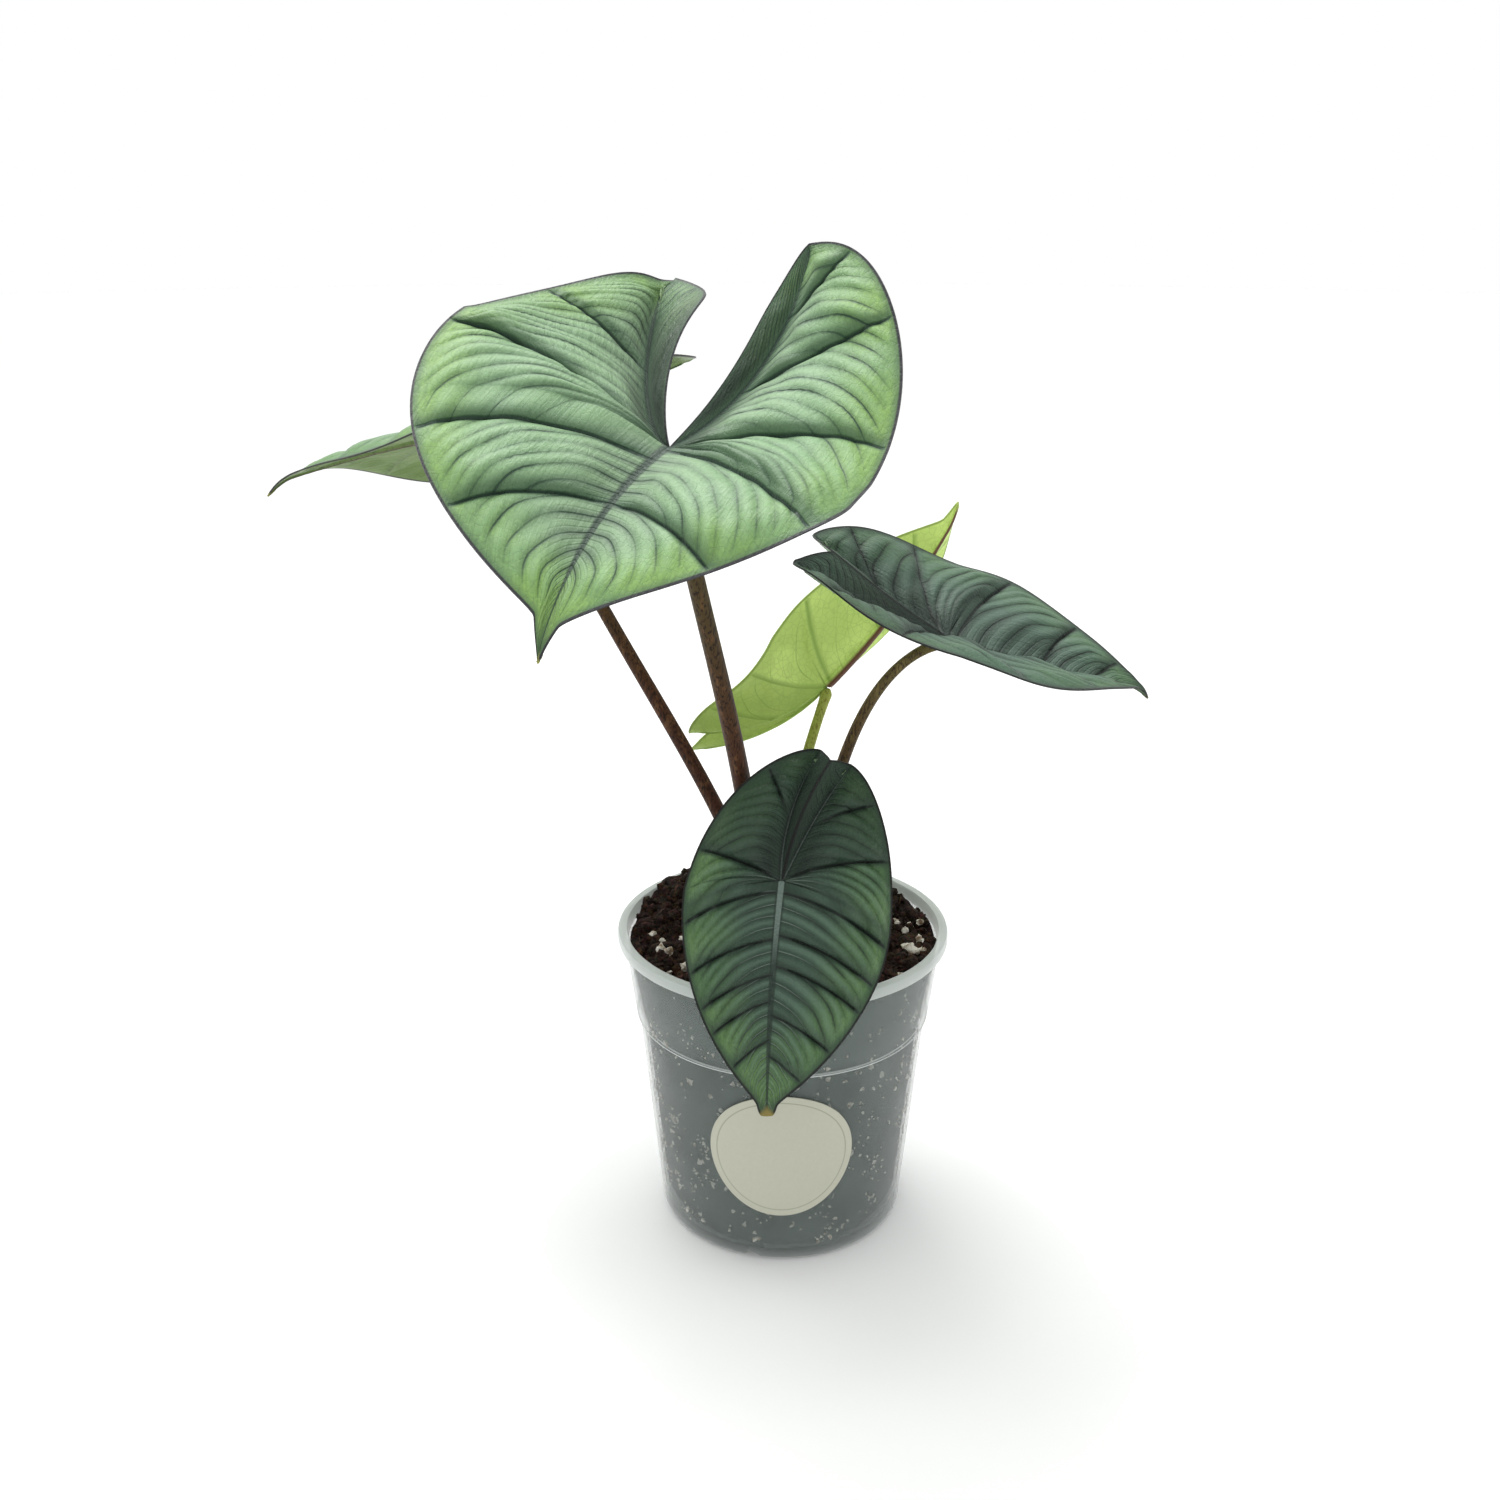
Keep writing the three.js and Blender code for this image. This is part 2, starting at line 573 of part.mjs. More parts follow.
function makeBlade(leaf) {
  addRails(leaf);
  const tops = [];
  const relief = [];
  const ribs = [];
  const index = [];
  const known = new Map();
  const keyOf = (x, y) => `${Math.round(x * 1000) || 0} ${Math.round(y * 1000) || 0}`;
  for (const side of [1, -1]) {
    const half = side > 0 ? leaf.left : leaf.right;
    const grid = columnList(leaf, half).map((q) => {
      const line = flowLine(leaf, half, q);
      const dome = panelDome(leaf, half, q);
      const thinning = q < 1 ? 1 - q : THREE.MathUtils.clamp(q <= 3 ? q - 2 : 4 - q, 0, 1);
      const wave = line.place < 2 ? leaf.wave * Math.min(1, line.place * 3) : 0;
      return rowShares.map((t) => {
        const [x, y] = line.at(t);
        const key = keyOf(x, side * y);
        if (!known.has(key)) {
          known.set(key, tops.length);
          tops.push(bladePoint(leaf, side, x, y));
          const rise = THREE.MathUtils.smoothstep(t * line.length, 0, puffRise);
          const fall = THREE.MathUtils.smoothstep((1 - t) * line.length, 0, puffFall);
          const ripple = wave * t ** 4 * Math.sin(line.place * rippleRate + side);
          relief.push(dome * rise * fall + ripple);
          ribs.push(t === 0 ? ribHeight * (1 - 0.8 * thinning) : 0);
        }
        return known.get(key);
      });
    });
    for (let c = 0; c + 1 < grid.length; c++) {
      for (let r = 0; r + 1 < rowShares.length; r++) {
        const quad = [grid[c][r], grid[c][r + 1], grid[c + 1][r + 1], grid[c + 1][r]];
        if (side < 0) quad.reverse();
        index.push(quad[0], quad[1], quad[2], quad[0], quad[2], quad[3]);
      }
    }
  }
  const kept = dropSlivers(index);
  const normals = vertexNormals(tops, kept);
  const shift = (point, i, amount) => point.clone().addScaledVector(normals[i], amount);
  const faces = tops.map((point, i) => shift(point, i, relief[i]));
  const unders = tops.map((point, i) => shift(point, i, relief[i] - bladeThickness - ribs[i]));
  const stalkIndex = known.get(keyOf(0, 0));
  const { up } = leaf.midRail.frames[0];
  const seat = { point: unders[stalkIndex].clone().addScaledVector(up, -gap), normal: up };
  return { geometry: thicken(faces, unders, kept), seat };
}

// Assembly

const plant = new THREE.Group();

function add(name, geometry, colour, roughness, extra = {}) {
  const material = new THREE.MeshStandardMaterial({ color: colour, roughness, metalness: 0, ...extra });
  const mesh = new THREE.Mesh(geometry, material);
  mesh.name = name;
  plant.add(mesh);
}

// The corm stands in a hole through the mix.
let corm = makeCorm();
const holeHeight = 2 * (cormTop - cormBottom);
const hole = new THREE.CylinderGeometry(cormRadius + gap, cormRadius + gap, holeHeight, 24);
hole.rotateX(Math.PI / 2).translate(0, 0, cormBottom - gap + holeHeight / 2);
let soil = makeSoil().subtract(toSolid(hole));

for (const [name, leaf] of Object.entries(leaves)) {
  const { geometry, seat } = makeBlade(leaf);
  const curve = stalkCurve(leaf.stalk, seat.point);
  const [lowRadius, highRadius] = leaf.stalk.radii;
  const socket = toSolid(tube(curve, lowRadius + gap, highRadius + gap, null));
  const end = new THREE.SphereGeometry(lowRadius + gap, stalkSides, stalkSides);
  end.translate(...curve.getPointAt(0).toArray());
  corm = corm.subtract(socket).subtract(toSolid(end));
  soil = soil.subtract(socket);
  add(`petiole_${name}`, tube(curve, lowRadius, highRadius, seat), leaf.stalkColour, 0.5);
  add(`blade_${name}`, geometry, leaf.colour, 0.45);
}
add('crown', toGeometry(corm), '#6b5236', 0.8);
add('soil', toGeometry(soil), '#2a1d18', 0.95);
add('pot', makePot(), '#7d8a8a', 0.45, { transparent: true, opacity: 0.6 });
add('label', makeLabel(), '#cfd0bf', 0.6);

export default plant;
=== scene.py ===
# A potted alocasia with silvery quilted leaves in a frosted nursery pot, about 35 cm tall.
# Blender works in metres, +Z up, with the pot standing on z = 0 and the plant facing -Y.
# Sizes in the settings are millimetres, and mm turns them into metres, but the camera's and the stage's
# are metres.
import math
import random

import bpy
import numpy as np
from mathutils import Euler, Matrix, Vector, noise


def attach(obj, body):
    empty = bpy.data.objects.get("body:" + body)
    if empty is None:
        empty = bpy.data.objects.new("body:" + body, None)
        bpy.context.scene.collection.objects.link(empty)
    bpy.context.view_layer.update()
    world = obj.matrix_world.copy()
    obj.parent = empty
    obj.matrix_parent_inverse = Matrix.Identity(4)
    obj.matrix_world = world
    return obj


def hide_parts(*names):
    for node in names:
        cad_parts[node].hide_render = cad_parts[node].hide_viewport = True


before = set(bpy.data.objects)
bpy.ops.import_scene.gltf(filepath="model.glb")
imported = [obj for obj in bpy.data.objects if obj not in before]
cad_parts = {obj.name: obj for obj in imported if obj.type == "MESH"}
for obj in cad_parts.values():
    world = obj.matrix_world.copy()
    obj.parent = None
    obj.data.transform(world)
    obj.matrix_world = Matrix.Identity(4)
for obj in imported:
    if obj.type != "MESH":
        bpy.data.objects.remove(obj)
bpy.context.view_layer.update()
mm = 0.001
print("frame loaded:", len(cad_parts), "nodes")


# Small helpers

def linear(hexCode):
    parts = [int(hexCode[i:i + 2], 16) / 255 for i in (1, 3, 5)]
    return [p / 12.92 if p <= 0.04045 else ((p + 0.055) / 1.055) ** 2.4 for p in parts] + [1.0]


# Adds one node and returns its outputs. An input is a value, a colour in hex or another node's output.
def addNode(tree, kind, inputs=None, stops=None, **settings):
    node = tree.nodes.new("ShaderNode" + kind)
    for name, value in settings.items():
        setattr(node, name, value)
    for socket, value in (inputs or {}).items():
        if isinstance(value, bpy.types.NodeSocket):
            tree.links.new(value, node.inputs[socket])
        else:
            node.inputs[socket].default_value = linear(value) if isinstance(value, str) else value
    for i, (place, colour) in enumerate(stops or []):
        stop = node.color_ramp.elements[i] if i < 2 else node.color_ramp.elements.new(place)
        stop.position = place
        stop.color = linear(colour)
    return node.outputs


def newMaterial(name):
    material = bpy.data.materials.new(name)
    material.use_nodes = True
    material.node_tree.nodes.clear()
    return material, material.node_tree, addNode(material.node_tree, "TexCoord")["Object"]


def finishMaterial(tree, inputs):
    shader = addNode(tree, "BsdfPrincipled", inputs)[0]
    addNode(tree, "OutputMaterial", {"Surface": shader})


# Multiplies masks, which are sockets or numbers, into one socket.
def product(tree, masks):
    result = masks[0]
    for mask in masks[1:]:
        result = addNode(tree, "Math", {0: result, 1: mask}, operation="MULTIPLY")[0]
    return result


def total(tree, parts):
    result = 0.0
    for part in parts:
        result = addNode(tree, "Math", {0: part, 1: result}, operation="ADD")[0]
    return result


# Masks of one value. Each rises from 0 to 1 between its two places, or from its third number to its fourth.
def addMasks(tree, value, ramps, kind="SMOOTHSTEP"):
    masks = {}
    for name, (low, high, *levels) in ramps.items():
        start, end = levels or (0, 1)
        inputs = {"Value": value, "From Min": low, "From Max": high, "To Min": start, "To Max": end}
        masks[name] = addNode(tree, "MapRange", inputs, interpolation_type=kind)[0]
    return masks


# Lays colours over a ground colour, each through its mask.
def layColours(tree, ground, layers):
    for mask, colour in layers:
        ground = addNode(tree, "Mix", {0: mask, 6: ground, 7: colour}, data_type="RGBA")[2]
    return ground


# Selects objects, the first of them active.
def pick(*objects):
    bpy.ops.object.select_all(action="DESELECT")
    for item in objects:
        item.select_set(True)
    bpy.context.view_layer.objects.active = objects[0]
    return objects[0]


def joinAll(objects, name):
    joined = pick(*objects)
    bpy.ops.object.join()
    joined.name = name
    joined.data.name = name
    return joined


def weld(item, distance, recalculate=False):
    pick(item)
    bpy.ops.object.mode_set(mode="EDIT")
    bpy.ops.mesh.select_all(action="SELECT")
    bpy.ops.mesh.remove_doubles(threshold=distance)
    if recalculate:
        bpy.ops.mesh.normals_make_consistent(inside=False)
    bpy.ops.object.mode_set(mode="OBJECT")


def applyModifiers(item):
    pick(item)
    for modifier in list(item.modifiers):
        bpy.ops.object.modifier_apply(modifier=modifier.name)


def getPoints(item):
    points = np.empty(len(item.data.vertices) * 3)
    item.data.vertices.foreach_get("co", points)
    return points.reshape(-1, 3)


def setPoints(item, points):
    item.data.vertices.foreach_set("co", np.asarray(points, float).ravel())
    item.data.update()


def addValues(item, name, values):
    item.data.attributes.new(name, "FLOAT", "POINT").data.foreach_set("value", values)


# Names and smooths a piece, gives it its material and says what it stands for in the frame.
def finishPiece(item, name, degrees, node=None, material=None):
    item.name = name
    if material:
        item.data.materials.clear()
        item.data.materials.append(material)
    pick(item)
    bpy.ops.object.shade_smooth_by_angle(angle=math.radians(degrees))
    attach(item, "root")
    if node:
        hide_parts(node)
    print(name, len(item.data.polygons), "faces")


def easeStep(value, low, high):
    share = np.clip((value - low) / (high - low), 0, 1)
    return share * share * (3 - 2 * share)


# Camera, at the photograph's height and angle

cameraSettings = {"place": (-0.0008, -0.530, 0.368), "lens": 38.4, "sensor": 36, "down": 19.5, "turn": 1.2}


def makeCamera():
    s = cameraSettings
    bpy.ops.object.camera_add(location=s["place"])
    camera = bpy.context.object
    camera.name = "camera"
    camera.rotation_euler = Euler((math.radians(90 - s["down"]), 0, math.radians(s["turn"])))
    camera.data.lens, camera.data.sensor_width = s["lens"], s["sensor"]
    bpy.context.scene.camera = camera


makeCamera()
print("camera set")


# Leaves. A half blade is a sheet of flow lines. Its column q runs 0 tip to 1 stalk along the midrib,
# 1 to 2 round the stalk, 2 to 3 out along the lobe vein and 3 to 4 back inside it. Its row t runs
# from the vein, 0, to the margin, 1. Laterals are the q of the main side veins, which end on the
# margin at the places that first, fan and spread give.

veinReach = 0.93  # share of a lobe that its vein runs
veinOut = 1.02  # how far out its end stands, for the lobe's own middle line
veinBend = 0.8  # below 1 it leaves the stalk sideways and then turns back
hookStart = 0.86  # share of the midrib where a drip tip turns down
railSteps = 200

commonHalf = {"open": 0.6, "square": 1, "blunt": 0.8, "release": 0, "spread": 1}
leaves = {
    "large": {
        "at": (-34, -65.5, 296), "heading": -123, "pitch": 17, "roll": 0, "tip": 86, "notch": 0,
        "bend": 32, "sway": 12, "twist": -1, "hook": 10, "dripTip": 0.14, "tipHalf": 4.0, "tipShape": 1.15,
        "puff": 3.6, "sidePuff": 0.8, "sideGap": 5.5, "wave": 1.2, "detail": 1.0, "slot": "silver_leaf",
        "both": {},
        "left": {
            "half": 68, "widest": 15, "lobe": 80, "lobeY": 17, "open": 0.2, "square": 0.95, "blunt": 0.78,
            "fold": 8, "cup": 22, "foldIn": 54, "release": 0.45, "lift": 50, "lobeSway": 3, "lobeTwist": 14,
            "first": 0.78, "fan": 1.17, "laterals": [0.64, 0.97, 2.0, 2.38, 2.75],
        },
        "right": {
            "half": 77, "widest": -2, "lobe": 76, "lobeY": 60, "open": 0.22, "blunt": 0.74,
            "fold": 35, "cup": 10, "foldIn": 60, "release": 0.6, "lift": -6, "lobeSway": -6, "lobeTwist": -22,
            "first": 0.62, "fan": 0.91, "spread": 1.7, "laterals": [0.64, 0.9, 2.0, 2.5, 3.2],
        },
    },
    "back": {
        "at": (-98.5, 53, 287), "heading": -162, "pitch": 6, "roll": 21, "tip": 92, "notch": 0,
        "bend": 12, "sway": 1, "twist": -11, "hook": 40, "dripTip": 0.1, "tipHalf": 3.3, "tipShape": 0.8,
        "puff": 2.2, "sidePuff": 0.6, "sideGap": 6.5, "wave": 1.2, "detail": 0.8, "slot": "back_leaf",
        "both": {"lobeY": 28, "fold": 2, "foldIn": 25, "lift": 10, "first": 0.8, "fan": 1.15, "spread": 1.2,
                 "laterals": [0.25, 0.45, 0.67, 0.97, 1.7, 2.3, 2.65]},
        "left": {"half": 58, "widest": 6, "lobe": 65, "cup": 15, "lobeSway": -2, "lobeTwist": 2},
        "right": {"half": 59, "widest": 0, "lobe": 63, "cup": 26, "lobeSway": 6, "lobeTwist": -2},
    },
    "young": {
        "at": (15.5, 44.5, 190.5), "heading": 7, "pitch": -45, "roll": -35, "tip": 84, "notch": 48,
        "bend": -16, "sway": -8, "twist": -19, "hook": -20, "dripTip": 0.1, "tipHalf": 3, "tipShape": 0.8,
        "puff": 1, "sidePuff": 0.25, "sideGap": 7, "wave": 0.8, "detail": 0.62, "slot": "young_leaf",
        "both": {"lobeY": 10, "open": 0.5, "first": 0.88, "fan": 1.3, "laterals": [0.35, 0.65, 0.97, 2.0, 2.45]},
        "left": {"half": 32, "widest": 29, "lobe": 58, "fold": 25, "cup": 14, "foldIn": 34,
                 "lift": 38, "lobeSway": 15, "lobeTwist": 10},
        "right": {"half": 35, "widest": 11, "lobe": 55, "fold": 31, "cup": 1, "foldIn": 22,
                  "lift": 49, "lobeSway": 4, "lobeTwist": 4},
    },
    "right": {
        "at": (54, -18, 226.5), "heading": -4, "pitch": 19, "roll": 6, "tip": 72, "notch": 48,
        "bend": -10, "sway": 9, "twist": 3, "hook": 60, "dripTip": 0.08, "tipHalf": 2.1, "tipShape": 0.8,
        "puff": 2.4, "sidePuff": 0.6, "sideGap": 6.5, "wave": 0.6, "detail": 0.76, "slot": "grey_leaf",
        "both": {"first": 0.78, "fan": 1.22, "laterals": [0.3, 0.55, 0.96, 2.05, 2.5]},
        "left": {"half": 44, "widest": 3, "lobe": 55, "lobeY": 21, "fold": 23, "cup": 14, "foldIn": 30,
                 "lift": 13, "lobeSway": -2, "lobeTwist": 12},
        "right": {"half": 42, "widest": 7, "lobe": 57, "lobeY": 14, "fold": 18, "cup": 8, "foldIn": 36,
                  "lift": 22, "lobeSway": -5, "lobeTwist": -2},
    },
    "front": {
        "at": (-0.5, -48, 151.5), "heading": -101, "pitch": 56, "roll": -13, "tip": 77, "notch": 44,
        "bend": 20, "sway": 7, "twist": 0, "hook": 0, "dripTip": 0.05, "tipHalf": 3.3, "tipShape": 0.25,
        "puff": 3.4, "sidePuff": 1.1, "sideGap": 4.6, "wave": 0.5, "detail": 0.76, "slot": "dark_leaf",
        "both": {"first": 0.9},
        "left": {
            "half": 38, "widest": 9, "lobe": 46, "lobeY": 11, "square": 1.1, "blunt": 0.75,
            "fold": 16, "cup": 31, "foldIn": 57, "lift": 17, "lobeSway": -19, "lobeTwist": -2,
            "fan": 1.3, "laterals": [0.26, 0.43, 0.64, 0.77, 0.95, 2.0, 2.47],
        },
        "right": {
            "half": 32, "widest": 7, "lobe": 45, "lobeY": 4, "square": 1.4, "blunt": 0.79,
            "fold": 17, "cup": 30, "foldIn": 36, "lift": 14, "lobeSway": -30, "lobeTwist": -1,
            "fan": 1.23, "laterals": [0.325, 0.49, 0.6, 0.75, 0.95, 2.0, 2.5],
        },
    },
}
for leaf in leaves.values():
    for key in ("left", "right"):
        leaf[key] = {**commonHalf, **leaf["both"], **leaf[key]}

bladeSettings = {
    "thickness": 0.55, "columns": (80, 40, 60, 60), "rows": 96, "arch": 0.13, "slant": 1.25,
    "ribHalves": (0.4, 1.5, 0.5, 0.3, 0.5), "ribRise": 0.12, "ribRiseSlope": 0.3,
    "ribDepth": 1.7, "ribDepthSlope": 0.4, "ribWiden": 1.7, "ribLevels": 24,
    "tipFlare": 0.085, "lobeRound": 7, "notchBlend": 12, "foldRound": (0.6, 0.95),
}


def swung(vector, axis, angle):
    across, along = np.cross(axis, vector), axis * (axis @ vector)
    return vector * math.cos(angle) + across * math.sin(angle) + along * (1 - math.cos(angle))


# Frames from the stalk along the midrib, or back along the middle of a lobe.
def makeRail(leaf, length, way, bend, sway, twist, hook):
    heading, pitch, roll = np.radians([leaf["heading"], leaf["pitch"], leaf["roll"]])
    level = np.array([math.cos(heading), math.sin(heading), 0])
    ahead = level * math.cos(pitch) - np.array([0, 0, math.sin(pitch)])
    side = swung(np.array([-level[1], level[0], 0]), ahead, roll)
    up = np.cross(ahead, side)
    point = np.array(leaf["at"], float)
    frames = [(point, side, up)]
    for i in range(railSteps):
        point = point + ahead * way * length / railSteps
        hooked = hook / (1 - hookStart) if i / railSteps > hookStart else 0
        bow, swing, spin = np.radians([bend + hooked, sway, twist]) / railSteps
        ahead, up = swung(ahead, side, bow), swung(up, side, bow)
        ahead, side = swung(ahead, up, swing), swung(side, up, swing)
        side = swung(side, ahead, spin)
        up = np.cross(ahead, side)
        frames.append((point, side, up))
    return length, np.array(frames)


def frameAt(rail, x):
    length, frames = rail
    place = np.minimum(np.abs(x) / length, 0.9999) * railSteps
    low = place.astype(int)
    share = (place - low)[..., None, None]
    return frames[low] * (1 - share) + frames[low + 1] * share


def veinOffset(half, x):
    return veinOut * half["lobeY"] * np.clip(-x / (veinReach * half["lobe"]), 0, 1.1) ** veinBend


def framesAt(leaf, half, x):
    return np.where((x >= 0)[..., None, None], frameAt(leaf["midRail"], x), frameAt(half["lobeRail"], x))


# A point of the flat half blade, bent along its rail, folded at its vein and cupped. The fold is
# rounded towards the end of the lobe, over the shares of it that foldRound gives.
def foldedPoint(leaf, half, side, x, y):
    frames = framesAt(leaf, half, x)
    vein = veinOffset(half, x)
    out = np.abs(y - vein)
    slope, curl = math.radians(half["fold"]), math.radians(half["cup"]) / half["half"]
    foldIn = math.radians(half["foldIn"]) * (1 - half["release"] * np.clip(-x / half["lobe"], 0, 1) ** 2)
    outer = y >= vein
    across = np.where(outer, (math.sin(slope) - np.sin(slope - curl * out)) / curl, -out * np.cos(foldIn))
    rise = np.where(outer, (np.cos(slope - curl * out) - math.cos(slope)) / curl, out * np.sin(foldIn))
    rounded = bladeSettings["lobeRound"] * easeStep(-x / half["lobe"], *bladeSettings["foldRound"])
    rise = rise * out / np.hypot(out, rounded + 1e-6)
    return frames[..., 0, :] + frames[..., 1, :] * (side * (vein + across))[..., None] \
        + frames[..., 2, :] * rise[..., None]


# The two halves of a leaf with a notch meet on one line between the lobes.
def bladePoint(leaf, side, x, y):
    half, other = (leaf["left"], leaf["right"]) if side > 0 else (leaf["right"], leaf["left"])
    point = foldedPoint(leaf, half, side, x, y)
    if leaf["notch"] == 0:
        return point
    vein = veinOffset(half, x)
    mine = foldedPoint(leaf, half, side, x, 0 * x)
    shared = (foldedPoint(leaf, other, -side, x, 0 * x) + mine) / 2
    past = easeStep(-x, leaf["notch"], leaf["notch"] + bladeSettings["notchBlend"])
    inner = (x < 0) & (y < vein)
    share = np.where(inner, (1 - y / np.where(vein > 0, vein, 1)) * (1 - past), 0)
    return point + (shared - mine) * share[..., None]


# Margin of the flat half blade: 0 is the tip, 1 the widest place, 2 the lobe's end, 3 the notch.
def marginPoint(leaf, half, place):
    drip = leaf["dripTip"]
    full = np.clip((place - drip) / (1 - drip), 0, 1)
    full = full ** 2 * (1 + bladeSettings["tipFlare"]) / (full + bladeSettings["tipFlare"])
    main = np.sin(np.pi / 2 * full ** half["blunt"])
    cone = leaf["tipHalf"] * np.minimum(1, place / drip) ** leaf["tipShape"] * (1 - main)
    lobe, lobeY, notch = half["lobe"], half["lobeY"], leaf["notch"]
    backTurn = np.clip(place - 1, 0, 1) * np.pi / 2
    endShare = np.clip(place - 2, 0, 1)
    endTurn = endShare * np.pi / 2
    roundX = -notch - (lobe - notch) * np.cos(endTurn)
    straightX = -lobe + (lobe - notch) * endShare
    roundY, straightY = lobeY * (1 - np.sin(endTurn)), lobeY * (1 - endShare)
    x = np.select(
        [place <= 1, place <= 2, place <= 3],
        [leaf["tip"] - (leaf["tip"] - half["widest"]) * place,
         half["widest"] - (half["widest"] + lobe) * np.sin(backTurn) ** half["square"],
         roundX + (straightX - roundX) * half["open"]],
        -notch * (4 - place))
    y = np.select(
        [place <= 1, place <= 2, place <= 3],
        [half["half"] * main + cone,
         lobeY + (half["half"] - lobeY) * np.clip(np.cos(backTurn), 0, 1) ** half["square"],
         roundY + (straightY - roundY) * half["open"]], 0)
    return x, y


def seamShare(leaf):
    return 2 * leaf["notch"] / (leaf["left"]["lobe"] + leaf["right"]["lobe"])


# Margin place and starting point on the vein of column q.
def columnEnds(leaf, half, q):
    seam = seamShare(leaf)
    first, fan = half["first"], half["fan"]
    share = np.clip(np.where(q > 3, 4 - q, q - 2), 0, 1)
    back = np.where(share >= seam, 2 + (1 - share) / (1 - seam), 3 + (seam - share) / max(seam, 0.01))
    place = np.select(
        [q < 1, q < 2, q <= 3],
        [first * np.clip(q, 0, 1) ** bladeSettings["slant"], first + (fan - first) * (q - 1),
         fan + (2 - fan) * share ** half["spread"]], back)
    startX = np.where(q < 1, leaf["tip"] * (1 - q), -veinReach * half["lobe"] * share)
    return place, startX, veinOffset(half, startX)


def flowPoint(leaf, half, q, t):
    place, startX, startY = columnEnds(leaf, half, q)
    endX, endY = marginPoint(leaf, half, place)
    arch = bladeSettings["arch"] * np.clip(1.8 - place, 0, 1) * np.minimum(place / 0.25, 1)
    bowX = (startX + endX) / 2 - (endY - startY) * arch
    bowY = (startY + endY) / 2 + (endX - startX) * arch
    x = (1 - t) ** 2 * startX + 2 * t * (1 - t) * bowX + t * t * endX
    y = (1 - t) ** 2 * startY + 2 * t * (1 - t) * bowY + t * t * endY
    return x, y


# Columns stop at every lateral of either half, so that the halves weld along the midrib and the notch.
def columnList(leaf, half):
    both = leaf["left"]["laterals"] + leaf["right"]["laterals"]
    lobeStops = {2, 3, 2 + seamShare(leaf)} | {min(q, 6 - q) for q in both if q > 2}
    stops = sorted({0, 1} | {q for q in both if q < 1} | {q for q in half["laterals"] if 1 < q < 2}
                   | lobeStops | {6 - q for q in lobeStops})
    columns = [0.0]
    for low, high in zip(stops, stops[1:]):
        fine = bladeSettings["columns"][int(low)] * leaf["detail"]
        count = max(1, round((high - low) * fine))
        columns += [low + (high - low) * (i + 1) / count for i in range(count)]
    return np.array(columns)


# Millimetres of surface for one unit of a pattern that runs over the grid.
def unitSize(points, pattern):
    alongColumns, alongRows = np.gradient(points, axis=0), np.gradient(points, axis=1)
    patternColumns, patternRows = np.gradient(pattern, axis=0), np.gradient(pattern, axis=1)
    e = (alongColumns ** 2).sum(-1)
    f = (alongColumns * alongRows).sum(-1)
    g = (alongRows ** 2).sum(-1)
    area = np.maximum(e * g - f * f, 1e-6)
    slope = (g * patternColumns ** 2 - 2 * f * patternColumns * patternRows + e * patternRows ** 2) / area
    return 1 / np.sqrt(np.maximum(slope, 1e-6))


# Relief of a half blade. Each form rises over its first distance from the vein, in millimetres, and
# falls off over its last one before the margin. The calms are its share in the tip's or the inner panel.
reliefSettings = {
    "domeRise": 14, "domeFall": 12, "domeLean": 0.62, "domeRound": 0.85, "panelWidth": 24,
    "creaseDepth": 0.35, "creaseWidth": 0.9, "creaseRise": 4, "creaseFall": 3,
    "pillowRise": (1, 9), "pillowFall": (0.3, 7), "pillowRound": 0.85, "pillowWidth": 5.5,
    "rollHeight": 0.12, "rollRise": (1, 12), "rollFall": 9, "ripples": 9, "squareRise": (1, 7),
    "curve": 0.85, "finePleats": 3.4,
    "tipCalm": {"dome": 0.4, "bow": 0.3}, "innerCalm": {"dome": 0.35, "bow": 0.15, "pillow": 0.8},
}


# Panels between the main side veins, numbered from the tip, and the finer side veins inside them.
# Each strip between two columns lies in one panel.
def makePanels(leaf, half, side, columns, rowT):
    s = reliefSettings
    edges = np.array(sorted([0, 3, 4.0] + half["laterals"]))
    panel = np.searchsorted(edges, (columns[:-1] + columns[1:]) / 2) - 1
    inner = columns[:-1] >= 3
    strips = np.stack([columns[:-1], columns[1:]], axis=1)
    u = (strips - edges[panel][:, None]) / np.diff(edges)[panel][:, None]
    sampleX, sampleY = flowPoint(leaf, half, edges, 0 * edges + 0.6)
    widths = np.linalg.norm(np.diff(bladePoint(leaf, side, sampleX, sampleY), axis=0), axis=1)
    counts = np.maximum(2, np.round(widths / leaf["sideGap"]))
    pleats = np.maximum(2, np.round(half["lobe"] * np.diff(edges) / s["finePleats"]))
    counts = np.where(edges[:-1] >= 3, pleats, counts)
    count, number = counts[panel][:, None, None], panel[:, None, None]
    line = count * (u[:, :, None] + 0 * rowT)
    calm = np.where(inner, s["innerCalm"]["bow"], np.where(panel == 0, s["tipCalm"]["bow"], 1))
    bow = count * s["curve"] * rowT ** 2.2 * calm[:, None, None]
    sway = 0.13 * np.sin(3.3 * rowT + 1.3 * line + 2.4 * number + side)
    sway += 0.04 * np.sin(9 * rowT - 2.3 * line + 1.7 * number)
    return panel, inner, u, widths, counts, line + bow + sway * np.sin(np.pi * rowT)


